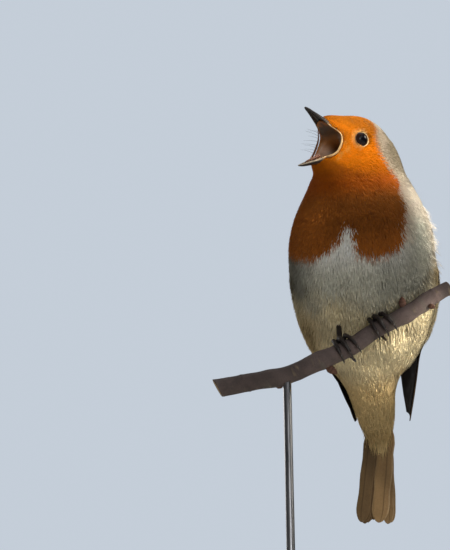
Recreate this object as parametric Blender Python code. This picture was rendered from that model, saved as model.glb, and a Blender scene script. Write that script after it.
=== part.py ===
"""European robin (Erithacus rubecula) in song, life size, gripping a cut twig on a display stand.

Metres, +Z up. The origin is the centre of the underside of the stand's base.
The bird is modelled in its own frame and hung from the empty "bird": there +X is its left side,
+Y its back and +Z runs up its spine, with the middle of the trunk at zero.
Sizes are in millimetres until addSolid writes them to a mesh.
"""

import math

import bmesh
import bpy
import numpy as np
from mathutils import Matrix

MM = 0.001
GAP = 0.32  # clear space between two pieces that touch

# ---- pose ---------------------------------------------------------------------------------------
BIRD_AT = (0.0, -2.0, 186.0)  # middle of the trunk in the room
LEAN = 30.5  # degrees that the spine leans towards the breast
TRUNK_TURN = -8.0  # degrees that the breast is turned to the bird's right
HEAD_TURN = 42.0  # degrees that the head is turned further to the bird's right
HEAD_PITCH = 30.6  # degrees that the head is raised
HEAD_ROLL = 2.6  # degrees that its crown tips to the right

# ---- trunk and neck, in rows up the spine ---------------------------------------------------------
#  height, sway to the left, half width, breast side, back side
TORSO = np.array(
    [
        (-46.5, 2.6, 4.2, -3.8, 7.4),
        (-40.0, 2.0, 6.1, 0.4, 9.4),
        (-30.0, 1.2, 7.8, 5.6, 11.8),
        (-20.0, 0.8, 11.4, 12.6, 14.4),
        (-10.0, 0.8, 15.4, 18.0, 16.4),
        (0.0, 0.8, 19.6, 21.6, 17.8),
        (10.0, 0.8, 22.6, 23.2, 18.4),
        (20.0, 0.8, 22.6, 22.2, 17.6),
        (30.0, 0.9, 19.6, 17.6, 14.8),
        (40.0, 1.5, 13.6, 11.8, 11.6),
        (46.0, 2.6, 9.0, 8.6, 7.6),
        (50.0, 2.8, 5.0, 5.0, 3.6),
    ]
)
TORSO_SQUARE = 2.15  # 2 is a plain ellipse, more is squarer
#  centre, radii and tilt towards the side, in degrees
THIGH = ((8.6, -11.0, -7.0), (7.4, 7.4, 10.0), 0.0)  # the leg's feathering under the belly's plumage
FLANK = ((15.9, 1.0, -6.5), (4.4, 12.5, 15.5), 18.0)  # long feathers draped over the wing's edge

# ---- head -----------------------------------------------------------------------------------------
HEAD_AT = (-0.3, -5.7, 48.4)
#  centre and radii along the head's forward, left and up axes
HEAD_FORMS = {
    "skull": ((-1.5, 0.0, 1.8), (9.9, 8.8, 9.1)),
    "face": ((8.0, 0.0, 0.9), (7.5, 3.9, 5.2)),
    "jaw": ((4.8, 0.0, -7.0), (7.4, 5.5, 6.2)),
    "nape": ((-7.9, 0.0, -1.4), (8.6, 8.6, 9.2)),
}
THROAT = ((-2.1, -5.4, 37.4), (9.8, 9.6, 9.0))  # in the bird's frame
BLEND = 2.2  # how softly the forms run into each other
CROWN_START = 47.0  # above this height the rings fan out from one point
CROWN_LENGTH = 16.0
TRUNK_END = -45.6
NECK_LOW = 27.0
NECK_HIGH = 37.5
AROUND = 32
EYE_AT = (3.0, 6.3, 1.1)
EYE_RADIUS = 2.8

# ---- bill: its pieces run forward from the line between the corners of the mouth --------------------
UPPER_AT = (11.6, 0.0, 0.95)
UPPER_LENGTH = 10.6
UPPER_RAISE = 13.2  # degrees above the head's forward axis
LOWER_AT = (9.6, 0.0, -7.4)
LOWER_LENGTH = 9.9
LOWER_DROP = 43.4  # degrees below it
#  share of the length, half width, depth of the horn, depth of its hollow
UPPER_BILL = np.array(
    [
        (0.0, 3.5, 2.0, 0.9),
        (0.25, 2.8, 1.8, 0.8),
        (0.5, 2.0, 1.35, 0.6),
        (0.75, 1.2, 0.95, 0.4),
        (0.92, 0.65, 0.7, 0.2),
        (1.0, 0.3, 0.45, 0.1),
    ]
)
LOWER_BILL = np.array(
    [
        (0.0, 3.4, 1.9, 1.0),
        (0.3, 2.7, 1.7, 0.9),
        (0.6, 1.75, 1.3, 0.6),
        (0.88, 0.8, 0.8, 0.3),
        (1.0, 0.3, 0.4, 0.1),
    ]
)
BILL_HOOK = 0.5  # how far the upper bill's tip turns down
RIM = 0.45  # thickness of the bill's cutting edge
#  the open mouth: how far forward, half width, ceiling and floor; its corners are in the fourth row
MOUTH = np.array(
    [
        (1.8, 1.4, -3.0, -5.6),
        (4.5, 3.2, -1.4, -6.6),
        (7.0, 4.2, -0.8, -7.0),
        (8.1, 4.7, -0.3, -7.3),
        (8.7, 6.2, 0.1, -7.5),
        (9.6, 9.0, 0.5, -7.9),
        (11.6, 13.0, 1.0, -9.5),
        (16.0, 18.0, 2.1, -14.2),
        (24.0, 24.0, 4.0, -22.6),
    ]
)

# ---- wings: rows from the wrist to the tip ----------------------------------------------------------
#  share, height, middle of the pair, half width, depth to the back, leading and trailing edge angle,
#  thickness; angles run round the body from 0 at the breast to 180 at the back
WING = np.array(
    [
        (0.00, 27.0, 0.4, 21.6, 17.0, 114.0, 146.0, 1.6),
        (0.12, 20.0, 0.2, 22.3, 18.4, 112.0, 160.0, 1.9),
        (0.30, 9.0, 0.5, 21.9, 19.4, 111.0, 167.0, 2.0),
        (0.50, -4.0, 0.9, 20.4, 19.4, 106.0, 169.0, 1.8),
        (0.65, -14.0, 1.6, 18.2, 18.6, 100.0, 168.0, 1.6),
        (0.80, -24.5, 3.0, 14.6, 17.8, 99.0, 158.0, 1.4),
        (0.92, -35.0, 4.0, 11.2, 17.0, 103.0, 152.0, 1.1),
        (1.00, -41.0, 4.8, 9.0, 16.4, 112.0, 142.0, 0.8),
    ]
)
WING_PARTS = {"coverts": (0.0, 0.41), "secondaries": (0.415, 0.70), "primaries": (0.705, 1.0)}

# ---- tail -------------------------------------------------------------------------------------------
TAIL_TOP = -46.0
TAIL_LENGTH = 29.3  # of what shows below the coverts
TAIL_AT = (3.1, 5.4)
TAIL_DROOP = 5.0  # degrees that it hangs towards the breast from the spine's line
TAIL_HALF = (4.7, 6.3)  # half width at its top and at its tip
TAIL_THICK = 2.0
TAIL_NOTCH = 1.8
TAIL_SLANT = 1.9  # how far its tip lies to the bird's right

# ---- perch: a twig that slopes up to the bird's left --------------------------------------------------
PERCH_AT = (0.0, -18.6, 165.9)
PERCH_SLOPE = 29.8
PERCH_ENDS = (-46.0, 31.0)
PERCH_BEND_AT = -6.0  # below here it levels out
PERCH_BEND = 0.0064
PERCH_RADIUS = 2.55
#  along the twig, angle round it, size
SPURS = ((-30.0, 200.0, 1.3), (-14.5, 262.0, 1.5), (15.0, 62.0, 1.4), (22.0, 300.0, 1.0))
DENT = 2.3  # space that the belly leaves round the twig
FOOT_DENT = 2.2  # and more of it at each foot

# ---- feet: angles round the twig, 0 in front and 90 on top ---------------------------------------------
FOOT_SPREAD = 6.4  # each foot from the middle, along the twig
HUB_ANGLE = 106.0
HUB = (2.3, 1.15, 1.0)  # radii of the ball of the foot: along the twig, round it and out from it
TARSUS_RADIUS = 0.9
ANKLE = (7.2, -8.0, 4.0)
#  slant along the twig, first angle, last angle, radius, sweep of the claw
TOES = {
    "inner": (-2.7, 82.0, -18.0, 0.68, -44.0),
    "middle": (0.1, 82.0, -34.0, 0.76, -40.0),
    "outer": (2.9, 82.0, -24.0, 0.68, -44.0),
    "back": (-0.6, 131.0, 210.0, 0.78, 40.0),
}

# ---- stand ------------------------------------------------------------------------------------------
ROD_ALONG = -26.0  # where the rod meets the twig
ROD_RADIUS = 1.25
ROD_SOCKET = 2.6
BASE_RADIUS = 50.0
BASE_HEIGHT = 8.0
BASE_SOCKET = 5.0


def finish(name, colour, roughness, metallic=0.0):
    """A plain material in the piece's own colour."""
    material = bpy.data.materials.get(name) or bpy.data.materials.new(name)
    material.use_nodes = True
    shader = material.node_tree.nodes["Principled BSDF"]
    shader.inputs["Base Color"].default_value = (*colour, 1.0)
    shader.inputs["Roughness"].default_value = roughness
    shader.inputs["Metallic"].default_value = metallic
    material.diffuse_color = (*colour, 1.0)
    return material


def addSolid(name, points, faces, material, parent=None, sharp=40.0):
    """A closed mesh object from points in mm, smooth except over edges sharper than the given angle."""
    mesh = bpy.data.meshes.new(name)
    mesh.from_pydata([tuple(p) for p in np.asarray(points) * MM], [], faces)
    work = bmesh.new()
    work.from_mesh(mesh)
    bmesh.ops.recalc_face_normals(work, faces=work.faces)
    work.to_mesh(mesh)
    work.free()
    mesh.shade_smooth()
    mesh.set_sharp_from_angle(angle=math.radians(sharp))
    mesh.materials.append(material)
    solid = bpy.data.objects.new(name, mesh)
    bpy.context.scene.collection.objects.link(solid)
    solid.parent = parent
    return solid


def gridFaces(rows, columns, wrap=True):
    """Quads of a grid of points stored row by row; wrap joins the last column to the first."""
    faces = []
    for i in range(rows - 1):
        for j in range(columns if wrap else columns - 1):
            k = (j + 1) % columns
            faces.append((i * columns + j, i * columns + k, (i + 1) * columns + k, (i + 1) * columns + j))
    return faces


def closedRings(rings):
    """Points and faces of a stack of rings, its two ends closed by flat faces."""
    rows, columns = rings.shape[:2]
    faces = gridFaces(rows, columns)
    faces.append(tuple(range(columns))[::-1])
    faces.append(tuple((rows - 1) * columns + j for j in range(columns)))
    return rings.reshape(-1, 3), faces


def closedSheet(outer, inner):
    """Points and faces of a thick sheet between two grids of the same size."""
    rows, columns = outer.shape[:2]
    back = rows * columns
    faces = gridFaces(rows, columns, wrap=False)
    faces += [tuple(back + k for k in face[::-1]) for face in gridFaces(rows, columns, wrap=False)]
    border = [j for j in range(columns)]
    border += [i * columns + columns - 1 for i in range(1, rows)]
    border += [(rows - 1) * columns + j for j in range(columns - 2, -1, -1)]
    border += [i * columns for i in range(rows - 2, 0, -1)]
    for first, second in zip(border, border[1:] + border[:1]):
        faces.append((second, first, back + first, back + second))
    return np.concatenate([outer.reshape(-1, 3), inner.reshape(-1, 3)]), faces


def apply(solid):
    """Bakes an object's modifiers into its mesh."""
    bpy.context.view_layer.update()
    shape = bpy.data.meshes.new_from_object(solid.evaluated_get(bpy.context.evaluated_depsgraph_get()))
    solid.modifiers.clear()
    solid.data = shape


def boolean(solid, operation, *tools):
    """Cuts the tools from a solid, or joins them to it, and removes them."""
    for tool in tools:
        modifier = solid.modifiers.new(operation.lower(), "BOOLEAN")
        modifier.operation = operation
        modifier.object = tool
        apply(solid)
        solid.data.set_sharp_from_angle(angle=math.radians(40.0))
        bpy.data.objects.remove(tool)
    return solid


def smoothTable(x, table, column):
    """A cubic through one column of a table, with slopes taken from the neighbouring rows."""
    xs, ys = table[:, 0], table[:, column]
    slopes = np.gradient(ys, xs)
    x = np.clip(x, xs[0], xs[-1])
    i = np.clip(np.searchsorted(xs, x) - 1, 0, len(xs) - 2)
    width = xs[i + 1] - xs[i]
    t = (x - xs[i]) / width
    near = (1 + 2 * t) * (1 - t) ** 2 * ys[i] + t * (1 - t) ** 2 * width * slopes[i]
    far = t * t * (3 - 2 * t) * ys[i + 1] - t * t * (1 - t) * width * slopes[i + 1]
    return near + far


def turn(axis, degrees):
    return np.array(Matrix.Rotation(math.radians(degrees), 3, axis))


# ---- frames -----------------------------------------------------------------------------------------
BIRD_AXES = turn("X", LEAN) @ turn("Z", TRUNK_TURN)
FACE_FRONT = np.array([[0.0, 1.0, 0.0], [-1.0, 0.0, 0.0], [0.0, 0.0, 1.0]])
HEAD_AXES = turn("Z", -HEAD_TURN) @ FACE_FRONT @ turn("Y", -HEAD_PITCH) @ turn("X", HEAD_ROLL)


def fromHead(points):
    """Points along the head's forward, left and up axes, in the bird's frame."""
    return np.asarray(points, float) @ HEAD_AXES.T + np.array(HEAD_AT)


def perchAxes():
    """Columns run along the twig, towards the front, and up square to it."""
    slope = math.radians(PERCH_SLOPE)
    return np.array([[math.cos(slope), 0, -math.sin(slope)], [0, -1, 0], [math.sin(slope), 0, math.cos(slope)]])


def perchRadius(along):
    """The twig thins towards its upper end, and swells a little at each spur."""
    swell = sum(0.3 * np.exp(-(((along - spur[0]) / 2.4) ** 2)) for spur in SPURS)
    return PERCH_RADIUS - 0.011 * along + swell


def perchPoint(along, degrees=0.0, out=0.0):
    """Points at a distance out from the twig's middle line, in the room."""
    axes = perchAxes()
    along, degrees, out = np.broadcast_arrays(along, degrees, out)
    angle = np.radians(degrees)
    bend = PERCH_BEND * np.minimum(along - PERCH_BEND_AT, 0) ** 2
    lift = out * np.sin(angle) + bend + 0.3 * np.sin(along * 0.3)
    return (
        np.array(PERCH_AT)
        + along[..., None] * axes[:, 0]
        + (out * np.cos(angle))[..., None] * axes[:, 1]
        + lift[..., None] * axes[:, 2]
    )


# ---- the plumage outline ------------------------------------------------------------------------------
def ellipsoidGap(points, centre, radii):
    """About the distance outside an ellipsoid, negative inside it."""
    scaled = (points - np.array(centre)) / np.array(radii)
    reach = np.linalg.norm(scaled, axis=-1) + 1e-9
    return reach * (reach - 1) / (np.linalg.norm(scaled / np.array(radii), axis=-1) + 1e-9)


def torsoGap(points):
    """About the distance outside the trunk and neck: a squarish ellipse at each height."""
    height = points[..., 2]
    half = smoothTable(height, TORSO, 2)
    front = smoothTable(height, TORSO, 3)
    back = smoothTable(height, TORSO, 4)
    x = (points[..., 0] - smoothTable(height, TORSO, 1)) / half
    y = (points[..., 1] - (back - front) / 2) / ((back + front) / 2)
    across = (np.abs(x) ** TORSO_SQUARE + np.abs(y) ** TORSO_SQUARE) ** (1 / TORSO_SQUARE)
    above = 4 * np.maximum(height - TORSO[-1, 0], 0)
    return (across - 1) * np.minimum(half, (back + front) / 2) + above


def bodyGap(points):
    """Torso, thighs, flanks, throat and head, each running softly into the next."""
    gaps = [torsoGap(points), ellipsoidGap(points, *THROAT)]
    sway = smoothTable(points[..., 2], TORSO, 1)
    for side in (1, -1):
        for centre, radii, tilt in (THIGH, FLANK):
            offset = np.stack([(points[..., 0] - sway) * side, points[..., 1], points[..., 2]], axis=-1)
            gaps.append(ellipsoidGap((offset - np.array(centre)) @ turn("Y", tilt), (0, 0, 0), radii))
    local = (points - np.array(HEAD_AT)) @ HEAD_AXES
    gaps += [ellipsoidGap(local, *form) for form in HEAD_FORMS.values()]
    return -BLEND * np.log(np.sum([np.exp(-gap / BLEND) for gap in gaps], axis=0))


def spineAt(height):
    """Point inside the bird from which its outline is measured at each height."""
    lift = np.clip((height - 30) / (CROWN_START - 30), 0, 1)
    sway = smoothTable(height, TORSO, 1)
    middle = (smoothTable(height, TORSO, 4) - smoothTable(height, TORSO, 3)) / 2
    x = sway * (1 - lift) + HEAD_AT[0] * lift
    y = middle * (1 - lift) + HEAD_AT[1] * lift
    return np.stack([x, y, height], axis=-1)


def reach(origin, rays, gap, grow=0.0):
    """Distance along each ray to the last place where gap equals grow, found by steps and then by halving."""
    low = np.zeros(rays.shape[:-1])
    for distance in np.linspace(1, 45, 45):
        low = np.where(gap(origin + rays * distance) < grow, distance, low)
    high = low + 1.0
    for _ in range(24):
        middle = (low + high) / 2
        outside = gap(origin + rays * middle[..., None]) > grow
        high = np.where(outside, middle, high)
        low = np.where(outside, low, middle)
    return low


def bodyRings(stops, grow=0.0):
    """Rings of the outline at stops up the spine; over the crown they fan out until they close."""
    stops = np.asarray(stops, float)
    lift = np.clip((stops - CROWN_START) / CROWN_LENGTH, 0, 1) * math.radians(88.0)
    origin = spineAt(np.minimum(stops, CROWN_START))[:, None, :]
    angle = np.arange(AROUND) * 2 * math.pi / AROUND
    level = np.stack([np.sin(angle), -np.cos(angle), np.zeros(AROUND)], axis=-1)
    rays = level * np.cos(lift)[:, None, None] + np.array([0, 0, 1.0]) * np.sin(lift)[:, None, None]
    return origin + rays * reach(origin, rays, bodyGap, grow)[..., None]


def bodyPiece(name, low, high, rows, material, bird, grow=0.0):
    points, faces = closedRings(bodyRings(np.linspace(low, high, rows), grow))
    return addSolid(name, points, faces, material, bird)


# ---- simple forms ---------------------------------------------------------------------------------------
def tube(path, radii, sides=8):
    """Rings round a path, square to it, closed at both ends."""
    path = np.asarray(path, float)
    ways = np.gradient(path, axis=0)
    ways /= np.linalg.norm(ways, axis=1)[:, None]
    side = np.cross(ways[0], (0.31, 0.17, 0.93))
    angle = np.arange(sides) * 2 * math.pi / sides
    rings = []
    for point, way, radius in zip(path, ways, radii):
        side = side - way * (side @ way)
        side /= np.linalg.norm(side)
        ring = np.outer(np.cos(angle), side) + np.outer(np.sin(angle), np.cross(way, side))
        rings.append(point + ring * radius)
    return closedRings(np.array(rings))


def ball(centre, radii, rows=9, sides=14, axes=np.eye(3)):
    """An ellipsoid of rings, with a small flat at each pole."""
    down = np.linspace(0.12, math.pi - 0.12, rows)[:, None]
    around = (np.arange(sides) * 2 * math.pi / sides)[None]
    rings = np.stack(
        [np.sin(down) * np.cos(around), np.sin(down) * np.sin(around), -np.cos(down) * np.ones_like(around)],
        axis=-1,
    )
    return closedRings(np.array(centre) + (rings * np.array(radii)) @ np.asarray(axes).T)


# ---- head, eyes and bill --------------------------------------------------------------------------------
def billPiece(name, table, start, slope, length, side, hook, material, bird, grow=0.0):
    """A horn sheath with an arched outside and a hollow inside; side is 1 for the upper, -1 for the lower."""
    steep = math.radians(slope)
    along = np.array([math.cos(steep), 0.0, math.sin(steep)])
    outward = np.array([-math.sin(steep), 0.0, math.cos(steep)]) * side
    share = np.linspace(0, 1, 8)
    half, depth, hollow = (smoothTable(share, table, column) for column in (1, 2, 3))
    if grow:
        half, depth, hollow = half + grow, depth + 2 * grow, hollow * 0
    arch = np.linspace(0, math.pi, 8)
    inside = np.linspace(math.pi, 0, 6)
    inner = np.maximum(half - RIM, 0.12)
    across = np.concatenate([np.outer(half, np.cos(arch)), np.outer(inner, np.cos(inside))], axis=1)
    out = np.concatenate(
        [np.outer(depth, np.sin(arch) ** 0.8) - grow, np.outer(hollow, np.sin(inside)) - grow], axis=1
    )
    run = (share * (length + 2 * grow) - grow)[:, None] + np.zeros_like(out)
    out = out - side * hook * (share**3)[:, None]
    rings = np.array(start) + run[..., None] * along + out[..., None] * outward
    rings[..., 1] += across
    points, faces = closedRings(rings)
    return addSolid(name, fromHead(points), faces, material, bird)


def upperBill(name, material, bird, grow=0.0):
    return billPiece(name, UPPER_BILL, UPPER_AT, UPPER_RAISE, UPPER_LENGTH, 1, BILL_HOOK, material, bird, grow)


def lowerBill(name, material, bird, grow=0.0):
    return billPiece(name, LOWER_BILL, LOWER_AT, -LOWER_DROP, LOWER_LENGTH, -1, 0.0, material, bird, grow)


def mouthCutter(material, bird):
    """The open mouth: a funnel that widens forward from the throat between the two bill pieces."""
    forward, half, top, bottom = MOUTH.T
    angle = np.arange(18) * 2 * math.pi / 18
    across, up = (np.sign(wave) * np.abs(wave) ** 0.85 for wave in (np.cos(angle), np.sin(angle)))
    rings = np.stack(
        [
            np.repeat(forward[:, None], 18, axis=1),
            np.outer(half, across),
            ((top + bottom) / 2)[:, None] + np.outer((top - bottom) / 2, up),
        ],
        axis=-1,
    )
    points, faces = closedRings(rings)
    return addSolid("mouth_cutter", fromHead(points), faces, material, bird)


def makeHead(bird):
    plumage = finish("orange_plumage", (0.72, 0.24, 0.04), 0.9)
    horn = finish("bill_horn", (0.035, 0.028, 0.026), 0.35)
    flesh = finish("mouth_flesh", (0.55, 0.22, 0.10), 0.5)
    black = finish("eye", (0.008, 0.006, 0.006), 0.05)
    head = bodyPiece("head", NECK_HIGH + GAP, CROWN_START + CROWN_LENGTH, 16, plumage, bird)
    boolean(head, "DIFFERENCE", mouthCutter(plumage, bird))
    boolean(head, "DIFFERENCE", upperBill("upper_cutter", horn, bird, GAP))
    boolean(head, "DIFFERENCE", lowerBill("lower_cutter", horn, bird, GAP))
    for side, word in ((1, "left"), (-1, "right")):
        spot = fromHead(np.array(EYE_AT) * (1, side, 1))
        socket = addSolid("socket", *ball(spot, [EYE_RADIUS + GAP] * 3, 9, 14), black, bird)
        boolean(head, "DIFFERENCE", socket)
        addSolid("eye_" + word, *ball(spot, [EYE_RADIUS] * 3, 9, 14), black, bird)
    upperBill("bill_upper", horn, bird)
    lowerBill("bill_lower", horn, bird)
    steep = math.radians(-LOWER_DROP)
    share = np.linspace(0, 1, 7)
    run, lift = 1.2 + share * LOWER_LENGTH * 0.56, 0.5 - 0.3 * share
    path = run[:, None] * np.array([math.cos(steep), 0, math.sin(steep)])
    path += lift[:, None] * np.array([-math.sin(steep), 0, math.cos(steep)])
    tongue = tube(fromHead(np.array(LOWER_AT) + path), 0.8 - 0.5 * share**1.5, 8)
    addSolid("tongue", *tongue, flesh, bird)


# ---- wings and tail ---------------------------------------------------------------------------------------
def wingGrid(low, high, rows, columns, out, side):
    """Points of a wing between two shares of its length; out is 0 for its inside and 1 for its outside.

    The wing lies on an oval round the spine, or clear of the plumage where that is wider.
    """
    share = np.linspace(low, high, rows)[:, None] + np.zeros((1, columns))
    across = np.linspace(0, 1, columns)[None] + np.zeros((rows, 1))
    height, middle, half, back, lead, trail, thick = (smoothTable(share, WING, k) for k in range(1, 8))
    angle = np.radians(lead + (trail - lead) * across)
    rays = np.stack([side * np.sin(angle), -np.cos(angle), np.zeros_like(angle)], axis=-1)
    origin = np.stack([middle, np.zeros_like(height), height], axis=-1)
    oval = 1 / np.hypot(np.sin(angle) / half, np.cos(angle) / back)
    clear = reach(origin, rays, bodyGap, 2 * GAP)
    edge = np.sin(across * math.pi) ** 0.35
    distance = np.maximum(oval - thick, clear) + out * thick * (0.45 + 0.55 * edge)
    return origin + rays * distance[..., None]


def makeWings(bird):
    brown = finish("wing_brown", (0.16, 0.10, 0.055), 0.8)
    for part, (low, high) in WING_PARTS.items():
        rows = max(4, round((high - low) * 24))
        for side, word in ((1, "left"), (-1, "right")):
            outer = wingGrid(low, high, rows, 8, 1.0, side)
            inner = wingGrid(low, high, rows, 8, 0.0, side)
            addSolid(f"wing_{part}_{word}", *closedSheet(outer, inner), brown, bird, 50.0)


def makeTail(bird):
    brown = finish("tail_brown", (0.14, 0.085, 0.05), 0.8)
    droop = math.radians(TAIL_DROOP)
    along = np.array([0.0, -math.sin(droop), -math.cos(droop)])
    back = np.array([0.0, math.cos(droop), -math.sin(droop)])
    share = np.linspace(0, 1, 7)[:, None]
    across = np.linspace(-1, 1, 11)[None]
    tip = TAIL_LENGTH - TAIL_NOTCH * (1 - np.abs(across) ** 1.5) - 2.2 * np.clip(np.abs(across) - 0.7, 0, 1) ** 2 / 0.09
    run = share * tip
    half = TAIL_HALF[0] + (TAIL_HALF[1] - TAIL_HALF[0]) * share**1.6
    sheets = []
    for side in (1, -1):
        lift = side * TAIL_THICK / 2 * (1 - 0.45 * across**2) + 0.7 * (1 - across**2) + 0 * share
        grid = np.array([*TAIL_AT, TAIL_TOP]) + run[..., None] * along + lift[..., None] * back
        grid[..., 0] += across * half - TAIL_SLANT * share
        sheets.append(grid)
    addSolid("tail", *closedSheet(*sheets), brown, bird, 50.0)


# ---- legs and feet ------------------------------------------------------------------------------------------
def footPoint(spot, slant, degrees, out):
    """A point of a toe: spot and slant run along the twig."""
    along = spot + slant
    return perchPoint(along, degrees, perchRadius(along) + out)


def makeFoot(word, spot, side):
    scales = finish("leg_scales", (0.10, 0.055, 0.035), 0.55)
    horn = finish("claw_horn", (0.03, 0.022, 0.02), 0.4)
    for toe, (slant, first, last, radius, sweep) in TOES.items():
        share = np.linspace(0, 1, 9)
        spread = slant * side * (0.68 + 0.32 * share)
        knuckle = 1 + 0.1 * np.cos(share * math.pi * 6)
        out = radius + GAP + 0.5 * (1 - share) ** 3
        path = footPoint(spot, spread, first + (last - first) * share, out)
        addSolid(f"toe_{toe}_{word}", *tube(path, radius * knuckle * (1.0 - 0.2 * share), 6), scales)
        share = np.linspace(0, 1, 6)
        start = last + math.copysign(10.0, sweep)
        out = radius + GAP + 0.9 * np.sin(share * math.pi * 0.75)
        path = footPoint(spot, slant * side * (1.0 + 0.1 * share), start + sweep * share, out)
        addSolid(f"claw_{toe}_{word}", *tube(path, 0.13 + 0.42 * (1 - share) ** 0.8, 5), horn)


def makeLeg(word, spot, side, bird):
    """The ball of the foot and the bare shank, up to where it enters the belly's plumage."""
    scales = finish("leg_scales", (0.10, 0.055, 0.035), 0.55)
    foot = perchPoint(spot, HUB_ANGLE, perchRadius(spot) + GAP + HUB[2])
    ankle = np.array(BIRD_AT) + BIRD_AXES @ (np.array(ANKLE) * (side, 1, 1))
    share = np.linspace(0, 1, 5)[:, None]
    radii = TARSUS_RADIUS * np.array([1.0, 0.95, 0.95, 1.0, 1.1])
    leg = addSolid("leg_" + word, *tube(foot * (1 - share) + ankle * share, radii, 8), scales)
    out = foot - perchPoint(spot)
    out /= np.linalg.norm(out)
    along = perchAxes()[:, 0]
    axes = np.stack([along, np.cross(out, along), out], axis=1)
    boolean(leg, "UNION", addSolid("hub", *ball(foot, HUB, 7, 10, axes), scales))
    clear = bodyPiece("clear", -40.0, 20.0, 25, scales, bird, GAP)
    boolean(clear, "DIFFERENCE", dentPiece(scales, DENT - GAP))
    boolean(leg, "DIFFERENCE", clear)


# ---- perch and stand ----------------------------------------------------------------------------------------
def dentPiece(material, grow):
    """The space that the belly leaves round the twig, wider at each foot."""
    along = np.linspace(-30, 30, 21)
    wider = sum(FOOT_DENT * np.exp(-(((along - side * FOOT_SPREAD) / 3.2) ** 2)) for side in (1, -1))
    return addSolid("dent", *tube(perchPoint(along), perchRadius(along) + grow + wider, 14), material)


def makePerch():
    bark = finish("bark", (0.06, 0.04, 0.035), 0.75)
    along = np.linspace(*PERCH_ENDS, 18)
    perch = addSolid("perch", *tube(perchPoint(along), perchRadius(along), 12), bark)
    for spot, degrees, size in SPURS:
        bud = perchPoint(spot, degrees, perchRadius(spot) + 0.3 * size)
        out = perchPoint(spot, degrees, 1.0) - perchPoint(spot)
        across = perchAxes()[:, 0]
        axes = np.stack([across, np.cross(out, across), out], axis=1)
        spur = addSolid("spur", *ball(bud, (size * 0.8, size * 0.8, size * 1.3), 6, 7, axes), bark)
        boolean(perch, "UNION", spur)
    top = perchPoint(ROD_ALONG)
    drill = np.array([top - (0, 0, 12.0), top - (0, 0, perchRadius(ROD_ALONG) - ROD_SOCKET)])
    boolean(perch, "DIFFERENCE", addSolid("drill", *tube(drill, [ROD_RADIUS + GAP] * 2, 12), bark))


def makeStand():
    wood = finish("base_wood", (0.05, 0.028, 0.016), 0.4)
    steel = finish("rod_steel", (0.45, 0.45, 0.46), 0.3, 1.0)
    profile = ((BASE_RADIUS - 1.0, 0.0), (BASE_RADIUS, 1.0), (BASE_RADIUS, BASE_HEIGHT - 2.5))
    profile += ((BASE_RADIUS - 0.8, BASE_HEIGHT - 0.8), (BASE_RADIUS - 2.5, BASE_HEIGHT))
    angle = np.arange(36) * 2 * math.pi / 36
    rings = np.array(
        [np.stack([r * np.cos(angle), r * np.sin(angle), np.full(36, z)], axis=1) for r, z in profile]
    )
    base = addSolid("stand_base", *closedRings(rings), wood)
    top = perchPoint(ROD_ALONG)
    foot = np.array([top[0], top[1], BASE_HEIGHT - BASE_SOCKET])
    drill = np.array([foot, foot + (0, 0, 20.0)])
    boolean(base, "DIFFERENCE", addSolid("drill", *tube(drill, [ROD_RADIUS + GAP] * 2, 12), wood))
    head = top - (0, 0, perchRadius(ROD_ALONG) - ROD_SOCKET + GAP)
    path = np.linspace(foot + (0, 0, GAP), head, 4)
    addSolid("stand_rod", *tube(path, [ROD_RADIUS] * 4, 12), steel)


def main():
    for old in list(bpy.data.objects):
        bpy.data.objects.remove(old)
    bird = bpy.data.objects.new("bird", None)
    bpy.context.scene.collection.objects.link(bird)
    bird.matrix_world = Matrix.Translation([value * MM for value in BIRD_AT]) @ Matrix(BIRD_AXES).to_4x4()
    white = finish("belly_plumage", (0.62, 0.58, 0.50), 0.9)
    orange = finish("orange_plumage", (0.72, 0.24, 0.04), 0.9)
    trunk = bodyPiece("trunk", TRUNK_END, NECK_LOW, 25, white, bird)
    boolean(trunk, "DIFFERENCE", dentPiece(white, DENT))
    bodyPiece("neck", NECK_LOW + GAP, NECK_HIGH, 5, orange, bird)
    makeHead(bird)
    makeWings(bird)
    makeTail(bird)
    for word, side in (("left", 1), ("right", -1)):
        makeFoot(word, side * FOOT_SPREAD, side)
        makeLeg(word, side * FOOT_SPREAD, side, bird)
    makePerch()
    makeStand()


main()
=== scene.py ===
import math

import bpy
import numpy as np
from mathutils import Matrix, Vector


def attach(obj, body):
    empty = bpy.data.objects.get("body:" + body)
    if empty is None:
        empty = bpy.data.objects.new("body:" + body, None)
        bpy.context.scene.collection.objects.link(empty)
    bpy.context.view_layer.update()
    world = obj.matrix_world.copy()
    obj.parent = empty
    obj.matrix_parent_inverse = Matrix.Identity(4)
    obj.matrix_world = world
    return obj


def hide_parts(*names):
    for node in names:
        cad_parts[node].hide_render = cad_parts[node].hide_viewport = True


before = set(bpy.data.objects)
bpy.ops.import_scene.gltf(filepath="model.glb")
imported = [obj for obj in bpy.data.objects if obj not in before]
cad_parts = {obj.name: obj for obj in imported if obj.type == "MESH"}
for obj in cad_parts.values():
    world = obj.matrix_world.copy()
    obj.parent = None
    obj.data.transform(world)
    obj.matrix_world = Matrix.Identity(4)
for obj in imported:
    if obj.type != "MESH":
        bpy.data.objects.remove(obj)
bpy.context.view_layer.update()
scene = bpy.context.scene
millimetre = 0.001
random = np.random.default_rng(11)

pose = {
    "at": (0.0, -2.0, 186.0), "lean": 30.5, "trunkTurn": -8.0,
    "headAt": (-0.3, -5.7, 48.4), "headTurn": 42.0, "headPitch": 30.6, "headRoll": 2.6,
}


def turn(axis, degrees):
    return np.array(Matrix.Rotation(math.radians(degrees), 3, axis))


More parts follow.
